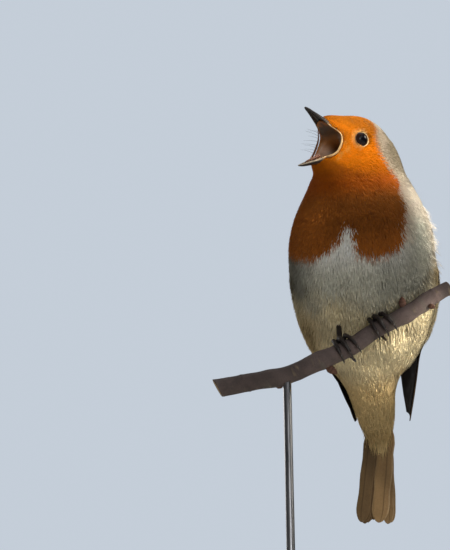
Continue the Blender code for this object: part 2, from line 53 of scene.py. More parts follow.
birdAxes = turn("X", pose["lean"]) @ turn("Z", pose["trunkTurn"])
faceFront = np.array([[0.0, 1.0, 0.0], [-1.0, 0.0, 0.0], [0.0, 0.0, 1.0]])
headAxes = turn("Z", -pose["headTurn"]) @ faceFront
headAxes = headAxes @ turn("Y", -pose["headPitch"]) @ turn("X", pose["headRoll"])
headAt = np.array(pose["headAt"])


def fromHead(points):
    # forward, left and up axes of the head into the bird's frame
    return np.asarray(points, float) @ headAxes.T + headAt


def toHead(points):
    return (points - headAt) @ headAxes


def fromBird(points):
    # the bird's frame into the room
    return np.array(pose["at"]) + np.asarray(points, float) @ birdAxes.T


def toBird(points):
    return (np.asarray(points, float) - np.array(pose["at"])) @ birdAxes


def headToRoom(points):
    return fromBird(fromHead(points))


# numbers that fade, wander and follow a table

scatter = {"way": np.array((127.1, 311.7, 74.7)), "gain": 43758.5453, "seedStep": 17.3}


def fade(value, low, high):
    # 0 below low, 1 above high, an S curve between; low may be the larger
    share = np.clip((value - low) / (high - low), 0, 1)
    return share * share * (3 - 2 * share)


def between(first, second, share):
    # part of the way from one number, place or colour to another
    return first + (second - first) * share


def unit(vectors):
    return vectors / (np.linalg.norm(vectors, axis=-1, keepdims=True) + 1e-12)


def fullTurn(count):
    # even angles once round, in radians
    return np.arange(count) * 2 * math.pi / count


def wander(points, size, seed=0.0):
    # smooth noise from -1 to 1: random values at the corners of cubes of one size, blended inside each
    scaled = np.asarray(points, float) / size
    cell = np.floor(scaled)
    part = scaled - cell
    part = part * part * (3 - 2 * part)
    total = 0
    for corner in np.ndindex(2, 2, 2):
        spot = cell + corner
        value = np.sin(spot @ scatter["way"] + seed * scatter["seedStep"]) * scatter["gain"]
        weight = np.prod(np.where(corner, part, 1 - part), axis=-1)
        total = total + weight * (value - np.floor(value))
    return total * 2 - 1


def smoothTable(x, table, column):
    # cubic through one column, slopes taken from the neighbouring rows
    xs, ys = table[:, 0], table[:, column]
    slopes = np.gradient(ys, xs)
    x = np.clip(x, xs[0], xs[-1])
    i = np.clip(np.searchsorted(xs, x) - 1, 0, len(xs) - 2)
    width = xs[i + 1] - xs[i]
    t = (x - xs[i]) / width
    near = (1 + 2 * t) * (1 - t) ** 2 * ys[i] + t * (1 - t) ** 2 * width * slopes[i]
    return near + t * t * (3 - 2 * t) * ys[i + 1] - t * t * (1 - t) * width * slopes[i + 1]


def screen(red, green, blue):
    # a colour as a screen shows it, 0 to 255, in linear light
    value = np.array((red, green, blue)) / 255
    return np.where(value <= 0.04045, value / 12.92, ((value + 0.055) / 1.055) ** 2.4)


# meshes from whole arrays

def gridFaces(rows, columns, wrap=True):
    # quads of points stored row by row; wrap joins the last column to the first
    i = np.arange(rows - 1)[:, None]
    j = np.arange(columns if wrap else columns - 1)[None]
    k = (j + 1) % columns
    corners = (i * columns + j, i * columns + k, (i + 1) * columns + k, (i + 1) * columns + j)
    return np.stack(np.broadcast_arrays(*corners), axis=-1).reshape(-1, 4)


def closedTube(rings):
    # a stack of rings closed by a point at each end: points, quads and triangles
    rows, columns = rings.shape[:2]
    points = np.concatenate([rings.reshape(-1, 3), [rings[0].mean(0)], [rings[-1].mean(0)]])
    j = np.arange(columns)
    k = (j + 1) % columns
    first, last = rows * columns, rows * columns + 1
    start = np.stack([np.full(columns, first), k, j], axis=1)
    end = np.stack([np.full(columns, last), j + (rows - 1) * columns, k + (rows - 1) * columns], axis=1)
    return points, gridFaces(rows, columns), np.concatenate([start, end])


def closedSheets(outer, inner):
    # many thick sheets at once: arrays (sheet, row, column, 3) joined round their borders
    count, rows, columns = outer.shape[:3]
    size = rows * columns
    front = gridFaces(rows, columns, wrap=False)
    border = np.concatenate([
        np.arange(columns), np.arange(1, rows) * columns + columns - 1,
        (rows - 1) * columns + np.arange(columns - 2, -1, -1), np.arange(rows - 2, 0, -1) * columns,
    ])
    following = np.roll(border, -1)
    rim = np.stack([following, border, size + border, size + following], axis=1)
    quads = np.concatenate([front, front[:, ::-1] + size, rim])
    points = np.concatenate([outer.reshape(count, size, 3), inner.reshape(count, size, 3)], axis=1)
    quads = quads[None] + (np.arange(count) * 2 * size)[:, None, None]
    return points.reshape(-1, 3), quads.reshape(-1, 4)


def sweep(path, radii, sides, up):
    # rings round a path: radii is (rows,) or (rows, sides), up tells where angle 90 points
    path = np.asarray(path, float)
    way = unit(np.gradient(path, axis=0))
    side = unit(np.cross(way, np.broadcast_to(up, path.shape)))
    top = np.cross(side, way)
    angle = fullTurn(sides)
    around = np.cos(angle)[:, None] * side[:, None] + np.sin(angle)[:, None] * top[:, None]
    radii = np.broadcast_to(np.asarray(radii, float).reshape(len(path), -1), (len(path), sides))
    return path[:, None] + around * radii[..., None]


def ball(centre, radii, rows, sides, axes=np.eye(3)):
    # ellipsoid rings between two small caps
    down = np.linspace(0.06, math.pi - 0.06, rows)[:, None]
    around = fullTurn(sides)[None]
    level, high = np.sin(down), -np.cos(down) + 0 * around
    rings = np.stack([level * np.cos(around), level * np.sin(around), high], axis=-1)
    return np.asarray(centre) + (rings * np.asarray(radii)) @ np.asarray(axes).T


def shapeParts(shape):
    # points, quads and triangles of a shape that may have no triangles
    triangles = np.asarray(shape[2]) if len(shape) > 2 else np.zeros((0, 3), int)
    return shape[0], np.asarray(shape[1]).reshape(-1, 4), triangles.reshape(-1, 3)


def joined(*shapes):
    # several shapes as one
    start, parts = 0, []
    for points, quads, triangles in map(shapeParts, shapes):
        parts.append((points, quads + start, triangles + start))
        start += len(points)
    return tuple(np.concatenate(part) for part in zip(*parts))


def tubeColours(tint):
    # colours for closedTube: those of its rings, and each end ring's mean on its closing point
    return np.concatenate([tint.reshape(-1, 3), tint[0].mean(0)[None], tint[-1].mean(0)[None]])


def setTint(mesh, colours):
    # one painted colour for each point, which the materials read
    full = np.concatenate([colours, np.ones((len(colours), 1))], axis=1).astype(np.float32)
    attribute = mesh.color_attributes.new(name="tint", type="FLOAT_COLOR", domain="POINT")
    attribute.data.foreach_set("color", full.ravel())


def addPiece(name, shape, materials, nodes=(), place=None, maps=None, colours=None,
             faceMaterial=None, shown=True):
    # a piece from a shape in millimetres, carried into the room by place; maps are per point or face corner
    points, quads, triangles = shapeParts(shape)
    points = place(points) if place else np.asarray(points)
    corners = np.concatenate([quads.ravel(), triangles.ravel()]).astype(np.int32)
    sizes = np.concatenate([np.full(len(quads), 4), np.full(len(triangles), 3)])
    mesh = bpy.data.meshes.new(name)
    mesh.vertices.add(len(points))
    mesh.vertices.foreach_set("co", (points * millimetre).astype(np.float32).ravel())
    mesh.loops.add(len(corners))
    mesh.loops.foreach_set("vertex_index", corners)
    mesh.polygons.add(len(sizes))
    starts = np.concatenate([[0], np.cumsum(sizes)[:-1]]).astype(np.int32)
    mesh.polygons.foreach_set("loop_start", starts)
    mesh.update(calc_edges=True)
    for label, spots in (maps or {}).items():
        spots = spots[corners] if len(spots) == len(points) else spots
        layer = mesh.uv_layers.new(name=label)
        layer.data.foreach_set("uv", np.asarray(spots, np.float32).ravel())
    if colours is not None:
        setTint(mesh, colours)
    for material in materials if isinstance(materials, (list, tuple)) else [materials]:
        mesh.materials.append(material)
    if faceMaterial is not None:
        mesh.polygons.foreach_set("material_index", np.asarray(faceMaterial, np.int32))
    mesh.shade_smooth()
    piece = bpy.data.objects.new(name, mesh)
    scene.collection.objects.link(piece)
    if shown:
        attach(piece, "root")
        if nodes:
            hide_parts(*nodes)
    return piece


# the twig that the bird grips

perch = {
    "at": (0.0, -18.6, 165.9), "slope": 29.8, "ends": (-46.0, 31.0), "radius": 2.55, "taper": 0.011,
    "bendAt": -6.0, "bend": 0.0064, "wave": 0.3,
    #  place along the twig, angle round it and size of each bud
    "spurs": ((-30.0, 200.0, 1.3), (-14.5, 262.0, 1.5), (15.0, 62.0, 1.4), (22.0, 300.0, 1.0)),
    "rows": 330, "sides": 72, "scars": np.array((-38.0, -9.0, 25.5)),
    "budRows": 40, "budSides": 22, "budScales": 4,
    "bark": screen(94, 80, 76), "pore": screen(120, 104, 84), "lichen": screen(104, 100, 88),
    "wood": screen(176, 146, 104), "heart": screen(120, 92, 60), "bud": screen(96, 66, 52),
}
slope = math.radians(perch["slope"])
perchAxes = np.array([
    [math.cos(slope), 0, -math.sin(slope)], [0, -1, 0], [math.sin(slope), 0, math.cos(slope)],
])


def twigLift(along):
    # how far the twig's middle line strays upwards: a bend at its low end and a slight wave
    bend = perch["bend"] * np.minimum(along - perch["bendAt"], 0) ** 2
    return bend + perch["wave"] * np.sin(along * 0.3)


def perchRadius(along):
    swell = sum(0.3 * np.exp(-(((along - spur[0]) / 2.4) ** 2)) for spur in perch["spurs"])
    return perch["radius"] - perch["taper"] * along + swell


def perchPoint(along, degrees=0.0, out=0.0):
    # distance out from the twig's middle line, at an angle round it: 0 in front, 90 on top
    along, degrees, out = np.broadcast_arrays(along, degrees, out)
    angle = np.radians(degrees)
    local = np.stack([along, out * np.cos(angle), out * np.sin(angle) + twigLift(along)], axis=-1)
    return np.array(perch["at"]) + local @ perchAxes.T


def twigGap(points):
    # distance from the twig's bark of points in the bird's frame
    local = (fromBird(points) - np.array(perch["at"])) @ perchAxes
    along = np.clip(local[..., 0], *perch["ends"])
    return np.hypot(local[..., 1], local[..., 2] - twigLift(along)) - perchRadius(along)


# the outline of the plumage, as a field of distances

#  height, sway to the left, half width, breast side, back side
torso = np.array([
    (-46.5, 2.6, 4.2, -3.8, 7.4), (-40, 2.0, 6.1, 0.4, 9.4), (-30, 1.2, 7.8, 5.6, 11.8),
    (-20, 0.8, 11.4, 12.6, 14.4), (-10, 0.8, 15.4, 18.0, 16.4), (0, 0.8, 19.6, 21.6, 17.8),
    (10, 0.8, 22.6, 23.2, 18.4), (20, 0.8, 22.6, 22.2, 17.6), (30, 0.9, 19.6, 17.6, 14.8),
    (40, 1.5, 13.6, 11.8, 11.6), (46, 2.6, 9.0, 8.6, 7.6), (50, 2.8, 5.0, 5.0, 3.6),
])
body = {
    "square": 2.15, "blend": 2.2, "crownStart": 47.0, "crownLength": 16.0, "low": -45.6,
    #  centre, radii and tilt towards the side
    "thigh": ((8.6, -11.0, -7.0), (7.4, 7.4, 10.0), 0.0),
    "flank": ((15.9, 1.0, -6.5), (4.4, 12.5, 15.5), 18.0),
    "throat": ((-2.1, -5.4, 37.4), (9.8, 9.6, 9.0)),
    #  skull, face, jaw and nape, in the head's axes
    "head": (((-1.5, 0, 1.8), (9.9, 8.8, 9.1)), ((8.0, 0, 0.9), (7.5, 3.9, 5.2)),
             ((4.8, 0, -7.0), (7.4, 5.5, 6.2)), ((-7.9, 0, -1.4), (8.6, 8.6, 9.2))),
}
bodyTop = body["crownStart"] + body["crownLength"]
eye = {
    "at": np.array((3.0, 6.3, 1.1)), "radius": 2.8, "looks": (0.22, 1.0, 0.06), "rows": 40, "sides": 48,
    "pupil": screen(8, 6, 9), "iris": screen(34, 20, 16),
    "lid": 0.15, "lidSides": 8, "lidFront": screen(128, 84, 40), "lidBack": screen(226, 194, 140),
}
#  the open mouth: how far forward, half width, ceiling and floor
mouth = np.array([
    (1.8, 1.4, -3.0, -5.6), (4.5, 3.2, -1.4, -6.6), (7.0, 4.2, -0.8, -7.0), (8.1, 4.7, -0.3, -7.3),
    (8.7, 6.2, 0.1, -7.5), (9.6, 9.0, 0.5, -7.9), (11.6, 13.0, 1.0, -9.5), (16.0, 18.0, 2.1, -14.2),
    (24.0, 24.0, 4.0, -22.6),
])
mouthRound = 0.85  # 1 is an oval mouth, less is squarer


def ellipsoidGap(points, centre, radii):
    scaled = (points - np.array(centre)) / np.array(radii)
    size = np.linalg.norm(scaled, axis=-1) + 1e-9
    return size * (size - 1) / (np.linalg.norm(scaled / np.array(radii), axis=-1) + 1e-9)


def torsoGap(points):
    # a squarish ellipse at each height
    height = points[..., 2]
    half, front, back = (smoothTable(height, torso, column) for column in (2, 3, 4))
    x = (points[..., 0] - smoothTable(height, torso, 1)) / half
    y = (points[..., 1] - (back - front) / 2) / ((back + front) / 2)
    across = (np.abs(x) ** body["square"] + np.abs(y) ** body["square"]) ** (1 / body["square"])
    return (across - 1) * np.minimum(half, (back + front) / 2) + 4 * np.maximum(height - torso[-1, 0], 0)


def bodyGap(points):
    # torso, thighs, flanks, throat and head, run softly together by a smooth minimum
    gaps = [torsoGap(points), ellipsoidGap(points, *body["throat"])]
    sway = smoothTable(points[..., 2], torso, 1)
    for side in (1, -1):
        offset = np.stack([(points[..., 0] - sway) * side, points[..., 1], points[..., 2]], axis=-1)
        for centre, radii, tilt in (body["thigh"], body["flank"]):
            gaps.append(ellipsoidGap((offset - np.array(centre)) @ turn("Y", tilt), (0, 0, 0), radii))
    local = toHead(points)
    gaps += [ellipsoidGap(local, *form) for form in body["head"]]
    return -body["blend"] * np.log(np.sum([np.exp(-gap / body["blend"]) for gap in gaps], axis=0))


def coatDepth(points):
    # how far the skin lies under the plumage: deep on the trunk, hardly anything round the bill
    height = points[..., 2]
    face = fade(toHead(points)[..., 0], -2, 9) * fade(height, 40, 46)
    return 0.35 + 1.25 * fade(height, 50, 34) + 0.4 * (1 - face) * fade(height, 34, 44)


def mouthGap(local):
    # about how far points in the head's axes lie outside the mouth's opening
    half, top, bottom = (smoothTable(local[..., 0], mouth, column) for column in (1, 2, 3))
    tall, power = (top - bottom) / 2, 2 / mouthRound
    across, up = np.abs(local[..., 1] / half), np.abs((local[..., 2] - (top + bottom) / 2) / tall)
    size = (across**power + up**power) ** (1 / power)
    return np.maximum((size - 1) * np.minimum(half, tall), mouth[0, 0] - local[..., 0])


def clearOf(gap, points, space, soft=0.7):
    # keeps a surface that far off the twig as well, by a soft maximum near it
    near = space - twigGap(points)
    return np.where(near > gap - 6, soft * np.logaddexp(gap / soft, near / soft), gap)


def skinGap(points):
    return clearOf(bodyGap(points) + coatDepth(points), points, 0.9)


def coatGap(points):
    return clearOf(bodyGap(points), points, 0.3)


def spineAt(height):
    # the middle of the trunk at each height, leading over to the middle of the head
    lift = np.clip((height - 30) / (body["crownStart"] - 30), 0, 1)
    middle = (smoothTable(height, torso, 4) - smoothTable(height, torso, 3)) / 2
    x = smoothTable(height, torso, 1) * (1 - lift) + headAt[0] * lift
    return np.stack([x, middle * (1 - lift) + headAt[1] * lift, height], axis=-1)


def reach(origin, rays, gap, grow=0.0, steps=45, halvings=20):
    # last place along each ray where the field is under grow: even steps, then halving
    near, far = 1, 45
    low = np.zeros(rays.shape[:-1])
    for distance in np.linspace(near, far, steps):
        low = np.where(gap(origin + rays * distance) < grow, distance, low)
    high = low + (far - near) / (steps - 1)
    for _ in range(halvings):
        middle = (low + high) / 2
        outside = gap(origin + rays * middle[..., None]) > grow
        high, low = np.where(outside, middle, high), np.where(outside, low, middle)
    return low


def outlinePoint(stops, angles, gap):
    # the field's surface at a stop up the spine and an angle round it; past the crown's start the rays fan up
    stops, angles = np.broadcast_arrays(stops, angles)
    lift = np.clip((stops - body["crownStart"]) / body["crownLength"], 0, 1) * math.radians(88.0)
    origin = spineAt(np.minimum(stops, body["crownStart"]))
    level = np.stack([np.sin(angles), -np.cos(angles), 0 * angles], axis=-1)
    rays = level * np.cos(lift)[..., None] + np.array([0, 0, 1.0]) * np.sin(lift)[..., None]
    return origin + rays * reach(origin, rays, gap)[..., None]


def normalOf(points, gap):
    # uphill direction of the field, by small steps each way
    steps = [gap(points + way) - gap(points - way) for way in np.eye(3) * 0.15]
    return unit(np.stack(steps, axis=-1))


# the markings, shared by skin and coat

tints = {
    "crown": screen(182, 104, 9), "cheek": screen(234, 132, 6), "throat": screen(176, 88, 18),
    # the chin colour is painted shade under the jaw
    "bib": screen(168, 98, 38), "chinShade": screen(150, 74, 14), "lore": screen(166, 96, 16),
    "eyeRing": screen(222, 180, 110), "fleck": screen(232, 190, 96), "band": screen(196, 180, 160),
    "nape": screen(164, 152, 130), "mantle": screen(112, 94, 62), "side": screen(226, 215, 198),
    "white": screen(250, 248, 240), "belly": screen(218, 216, 200), "fawn": screen(240, 224, 184),
    "flank": screen(212, 186, 136), "dusk": screen(116, 102, 78), "vent": screen(220, 192, 138),
    "skin": screen(120, 72, 52),
}
#  angle round the breast and height of the bib's lower edge, with the white notch
bibEdge = np.array([
    (-100, 18), (-80, 17), (-36, 15.2), (-24, 17.6), (-13, 20.5), (-6, 25), (-2.5, 26), (0.5, 23),
    (4.0, 16.4), (10, 15.8), (28, 15.6), (40, 17.6), (46, 21),
])
#  height and angle of its edge on the bird's left
bibSide = np.array([(14, 42), (20, 44), (34, 60), (38, 68), (42, 66)])
#  height above the eye's level and how far forward the orange of the face begins there
faceEdge = np.array([
    (-9, -22), (-5.4, -15.6), (-3.4, -9.0), (-1, -4.6), (1.2, -2.0), (4.1, -0.2), (8.3, -0.4), (11, 1.4),
])


def blendTint(base, tint, share):
    return between(base, tints[tint], np.asarray(share)[..., None])


def paintShade(base, amount, share):
    # painted shade: the colour darkened by an amount, or by one for each of red, green and blue
    return base * (1 - np.asarray(amount) * np.asarray(share)[..., None])


def bothSides(local):
    # head places folded onto the left side
    return np.stack([local[..., 0], np.abs(local[..., 1]), local[..., 2]], axis=-1)


def paleParts(points, height, angle, ragged):
    # the back, sides, flanks, belly and vent: each region laid over the last; painted shade on the bird's
    # right side and a painted shadow across its left side
    wide = np.abs(angle)
    tint = np.broadcast_to(tints["mantle"], points.shape)
    tint = blendTint(tint, "flank", fade(wide + ragged * 4, 128, 104) * fade(height, 32, 24))
    onSide = fade(wide + ragged * 3, 116, 98) * fade(height, 8, 15) * fade(height, 44, 38)
    tint = blendTint(tint, "side", onSide)
    tint = blendTint(tint, "belly", fade(wide + ragged * 6, 92, 62) * fade(height, 30, 24))
    tint = blendTint(tint, "white", fade(wide, 60, 35) * fade(height, 9, 18))
    patch = 3 * wander(points, 6.0, 4) + 2 * ragged
    tint = blendTint(tint, "fawn", fade(height + patch, 9, -5) * fade(wide, 125, 100))
    streak = wander(points * np.array((1, 1, 0.3)), 2.2, 5)
    streak += 0.3 * wander(points * np.array((1, 1, 0.4)), 0.9, 6)
    streak += 0.7 * wander(points * np.array((1, 1, 0.6)), 5.0, 15)
    dusky = fade(streak, 0.1, 0.9) * (0.30 + 0.42 * fade(wide, 25, 55))
    tint = blendTint(tint, "dusk", dusky * fade(height, 20, 10) * fade(height, -34, -24))
    # painted shade: the bird's right side of the belly and breast darkened
    onRight = fade(angle, -26, -60) * fade(height, -4, 7) * fade(height, 26, 18)
    tint = paintShade(tint, 0.66, onRight)
    # painted shadow: a band across the bird's left side, between the bib and the flank
    shadowOnLeft = fade(angle + ragged * 6, 10, 30) * fade(angle, 66, 52) * fade(height, -4, 5)
    tint = paintShade(tint, 0.34, shadowOnLeft * fade(height, 25, 17))
    below = fade(height, -30, -36)
    aroundVent = fade(wide, 125 + 25 * below, 100 + 30 * below)
    tint = blendTint(tint, "vent", fade(height, -18, -30) * aroundVent)
    return blendTint(tint, "nape", fade(height, 33, 42) * 0.85)


def orangeParts(points, height, angle, local):
    # the bib, throat and cheeks, the speckled crown, painted shade under the chin, dark lore, pale flecks
    # behind the gape, and painted shade on the bird's right of the bib
    ahead, up = local[..., 0], local[..., 2]
    tint = blendTint(np.broadcast_to(tints["bib"], points.shape), "throat", fade(height, 32, 39))
    tint = blendTint(tint, "cheek", fade(height, 38, 45))
    tint = blendTint(tint, "crown", fade(up, 1, 6) * fade(height, 44, 50))
    speckle = fade(wander(points, 0.9, 21), 0.1, 0.8) * fade(up, 4.5, 7.5) * fade(height, 44, 50)
    tint = blendTint(tint, "mantle", speckle * 0.45)
    # painted shade under the chin
    tint = blendTint(tint, "chinShade", fade(up, -7.5, -10) * fade(height, 36, 41) * 0.6)
    tint = blendTint(tint, "lore", fade(ahead, 5.5, 8) * fade(np.abs(up + 0.5), 3.6, 1.4) * 0.6)
    behindGape = np.hypot(ahead - 8.0, up + 5.0)
    fleck = fade(wander(points, 0.7, 12), 0.0, 0.5) * fade(behindGape, 4.0, 2.0) * (ahead > 3)
    tint = blendTint(tint, "fleck", fleck * 0.45)
    # painted shade on the bird's right side of the bib and throat
    return paintShade(tint, 0.36, fade(height, 19, 26) * fade(height, 38, 32) * fade(angle, -40, -12))


def markings(points):
    # colour of the plumage: pale parts, then the orange inside its wandering edge, painted shadow low on the
    # right flank, then eye ring and nostril
    height = points[..., 2]
    middle = spineAt(np.minimum(height, body["crownStart"]))
    angle = np.degrees(np.arctan2(points[..., 0] - middle[..., 0], middle[..., 1] - points[..., 1]))
    ragged = wander(points, 3.0, 1) * 0.9 + wander(points, 1.3, 2) * 0.5
    local = toHead(points)
    tint = paleParts(points, height, angle, ragged)
    below = height - np.interp(angle, *bibEdge.T)
    beside = (np.interp(height, *bibSide.T) - angle) * 0.33
    onBody = np.minimum(np.minimum(below, beside), (angle + 104) * 0.3)
    onHead = (local[..., 0] - np.interp(local[..., 2], *faceEdge.T)) * 0.75
    orange = between(onBody, onHead, fade(height, 38, 43)) + ragged * 0.5
    band = fade(orange, -5.0, -2.4) * fade(orange, 0.6, -0.6) * fade(height, 17, 22)
    band *= fade(np.abs(angle), 25, 45)
    tint = blendTint(tint, "band", band * (0.85 - 0.2 * fade(height, 50, 44)))
    warmTint = orangeParts(points, height, angle, local)
    tint = between(tint, warmTint, fade(orange, -1.1, 0.8)[..., None])
    # painted shadow between the right flank and the thigh
    lowFlankShade = fade(angle, -25, -50) * fade(height, 4, -8) * fade(height, -28, -20)
    tint = paintShade(tint, (0.34, 0.42, 0.52), lowFlankShade)
    spot = bothSides(local) - eye["at"]
    behind = 0.45 + 0.55 * fade(spot[..., 0] * 0.8 + spot[..., 2] * -0.4, 0.6, -1.2)
    tint = blendTint(tint, "eyeRing", fade(np.linalg.norm(spot, axis=-1), 3.9, 3.5) * behind)
    nostril = np.linalg.norm(bothSides(local) - bill["nostril"], axis=-1)
    tint = blendTint(tint, "skin", fade(nostril, 1.1, 0.6) * 0.8)
    shimmer = 0.07 * wander(points, 2.0, 7) + 0.06 * wander(points, 5.0, 8) + 0.07 * wander(points, 0.8, 9)
    return tint * (1 + shimmer)[..., None]


# shader groups and materials

def feed(tree, socket, value):
    # a link where the value is a socket, and its own number or colour elsewhere
    if isinstance(value, bpy.types.NodeSocket):
        tree.links.new(value, socket)
    else:
        socket.default_value = (*value, 1.0) if socket.type == "RGBA" else value


def addNode(tree, kind, inputs=None, **settings):
    made = tree.nodes.new(kind)
    for key, value in settings.items():
        setattr(made, key, value)
    for key, value in (inputs or {}).items():
        feed(tree, made.inputs[key], value)
    return made


def sums(tree, operation, first, second=0.0, third=0.0):
    made = addNode(tree, "ShaderNodeMath", {0: first, 1: second, 2: third}, operation=operation)
    return made.outputs[0]


def noise(tree, vector, scale, detail, distortion=0.0):
    inputs = {"Vector": vector, "Scale": scale, "Detail": detail, "Distortion": distortion}
    return addNode(tree, "ShaderNodeTexNoise", inputs).outputs[0]


def mixed(tree, share, first, second, kind="MIX"):
    made = addNode(tree, "ShaderNodeMix", {"Factor": share}, data_type="RGBA", blend_type=kind)
    feed(tree, made.inputs[6], first)
    feed(tree, made.inputs[7], second)
    return made.outputs[2]


def ranged(tree, value, low, high, toLow=0.0, toHigh=1.0):
    inputs = {"Value": value, "From Min": low, "From Max": high, "To Min": toLow, "To Max": toHigh}
    return addNode(tree, "ShaderNodeMapRange", inputs).outputs["Result"]


def newGroup(name, inputs, outputs):
    tree = bpy.data.node_groups.new(name, "ShaderNodeTree")
    for label, kind, value in inputs:
        socket = tree.interface.new_socket(label, in_out="INPUT", socket_type="NodeSocket" + kind)
        if value is not None:
            socket.default_value = value
    for label, kind in outputs:
        tree.interface.new_socket(label, in_out="OUTPUT", socket_type="NodeSocket" + kind)
    return tree, tree.nodes.new("NodeGroupInput").outputs, tree.nodes.new("NodeGroupOutput").inputs


def mottleGroup():
    # a colour made lighter and darker in soft patches and in fine specks
    inputs = (("Color", "Color", None), ("Vector", "Vector", None), ("Scale", "Float", 300.0),
              ("Amount", "Float", 0.2))
    tree, given, out = newGroup("mottle", inputs, (("Color", "Color"), ("Height", "Float")))
    broad = noise(tree, given["Vector"], given["Scale"], 3.0)
    fine = noise(tree, given["Vector"], sums(tree, "MULTIPLY", given["Scale"], 7.0), 2.0)
    both = sums(tree, "MULTIPLY_ADD", fine, 0.5, sums(tree, "MULTIPLY", broad, 0.5))
    swing = sums(tree, "MULTIPLY", sums(tree, "SUBTRACT", both, 0.5), 3.0)
    factor = sums(tree, "MULTIPLY_ADD", swing, given["Amount"], 1.0)
    grey = addNode(tree, "ShaderNodeCombineColor", {0: factor, 1: factor, 2: factor}).outputs[0]
    feed(tree, out["Color"], mixed(tree, 1.0, given["Color"], grey, "MULTIPLY"))
    feed(tree, out["Height"], both)
    return tree


def barbGroup():
    # the barbs of a vane: slanting lines that run out and forward from the shaft; U across, V along
    inputs = (("UV", "Vector", None), ("Shaft", "Float", 0.4), ("Count", "Float", 70.0),
              ("Slant", "Float", 0.35))
    tree, given, out = newGroup("barbs", inputs, (("Height", "Float"), ("Shaft", "Float"), ("Side", "Float")))
    parts = addNode(tree, "ShaderNodeSeparateXYZ", {0: given["UV"]}).outputs
    offset = sums(tree, "SUBTRACT", parts[0], given["Shaft"])
    away = sums(tree, "ABSOLUTE", offset)
    slanted = sums(tree, "SUBTRACT", parts[1], sums(tree, "MULTIPLY", away, given["Slant"]))
    slanted = sums(tree, "MULTIPLY_ADD", noise(tree, given["UV"], 6.0, 2.0), 0.03, slanted)
    turns = sums(tree, "MULTIPLY", slanted, given["Count"])
    wave = sums(tree, "SINE", sums(tree, "MULTIPLY", turns, 6.2832))
    feed(tree, out["Height"], sums(tree, "MULTIPLY_ADD", wave, 0.5, 0.5))
    feed(tree, out["Shaft"], ranged(tree, away, 0.05, 0.025))
    feed(tree, out["Side"], offset)
    return tree


mottle, barbs = mottleGroup(), barbGroup()


def newMaterial(name, roughness, bump=None, **constants):
    # an empty material: its tree, its shader and a bump node for the height
    material = bpy.data.materials.new(name)
    material.use_nodes = True
    tree = material.node_tree
    shader = tree.nodes["Principled BSDF"]
    shader.inputs["Roughness"].default_value = roughness
    for label, value in constants.items():
        shader.inputs[label.replace("_", " ")].default_value = value
    place = addNode(tree, "ShaderNodeTexCoord")
    relief = None
    if bump:
        relief = addNode(tree, "ShaderNodeBump", {"Strength": bump[0], "Distance": bump[1]})
        tree.links.new(relief.outputs[0], shader.inputs["Normal"])
    return material, tree, shader, place.outputs, relief


def mottled(tree, colour, vector, scale, amount):
    inputs = {"Color": colour, "Vector": vector, "Scale": scale, "Amount": amount}
    made = addNode(tree, "ShaderNodeGroup", inputs, node_tree=mottle)
    return made.outputs["Color"], made.outputs["Height"]


def paintedTint(tree):
    return addNode(tree, "ShaderNodeAttribute", attribute_name="tint").outputs["Color"]


def paintedMaterial(name, roughness, scale, amount, bump=None, uneven=True, **constants):
    # a surface in its own painted tint, mottled, with a fine relief; uneven lets its roughness wander
    material, tree, shader, place, relief = newMaterial(name, roughness, bump, **constants)
    colour, height = mottled(tree, paintedTint(tree), place["Object"], scale, amount)
    feed(tree, shader.inputs["Base Color"], colour)
    if relief:
        feed(tree, relief.inputs["Height"], height)
    if uneven:
        rough = ranged(tree, height, 0.3, 0.7, roughness * 0.8, min(roughness * 1.25, 1.0))
        feed(tree, shader.inputs["Roughness"], rough)
    return material


def vaneMaterial(name, dark, edge, pale, shaft, edgeWidth, count):
    # a flight feather: dark vane, paler outer edge, darker far side, barbs and a shaft
    material, tree, shader, place, relief = newMaterial(
        name, 0.55, (0.35, 0.00025), Sheen_Weight=0.04, Specular_IOR_Level=0.15)
    spot = addNode(tree, "ShaderNodeUVMap", uv_map="vane").outputs[0]
    made = addNode(tree, "ShaderNodeGroup", {"UV": spot, "Shaft": shaft, "Count": count}, node_tree=barbs)
    parts = addNode(tree, "ShaderNodeSeparateXYZ", {0: spot}).outputs
    wobble = sums(tree, "MULTIPLY_ADD", noise(tree, place["Object"], 420.0, 3.0), 0.10, -0.05)
    across = sums(tree, "ADD", parts[0], wobble)
    colour = mixed(tree, ranged(tree, across, edgeWidth, edgeWidth * 0.35), dark, edge)
    colour = mixed(tree, ranged(tree, across, 0.9, 0.985, 0.0, 0.6), colour, pale)
    colour = mixed(tree, ranged(tree, parts[1], 0.955, 0.995, 0.0, 0.35), colour, edge)
    lines = ranged(tree, made.outputs["Height"], 0.0, 1.0, 0.0, 0.35)
    colour = mixed(tree, lines, colour, dark * 0.45)
    colour = mixed(tree, sums(tree, "MULTIPLY", made.outputs["Shaft"], 0.8), colour, dark * 0.5)
    colour = mixed(tree, 1.0, colour, paintedTint(tree), "MULTIPLY")
    colour, _ = mottled(tree, colour, place["Object"], 260.0, 0.25)
    feed(tree, shader.inputs["Base Color"], colour)
    feed(tree, relief.inputs["Height"], sums(tree, "ADD", made.outputs["Height"], made.outputs["Shaft"]))
    return material


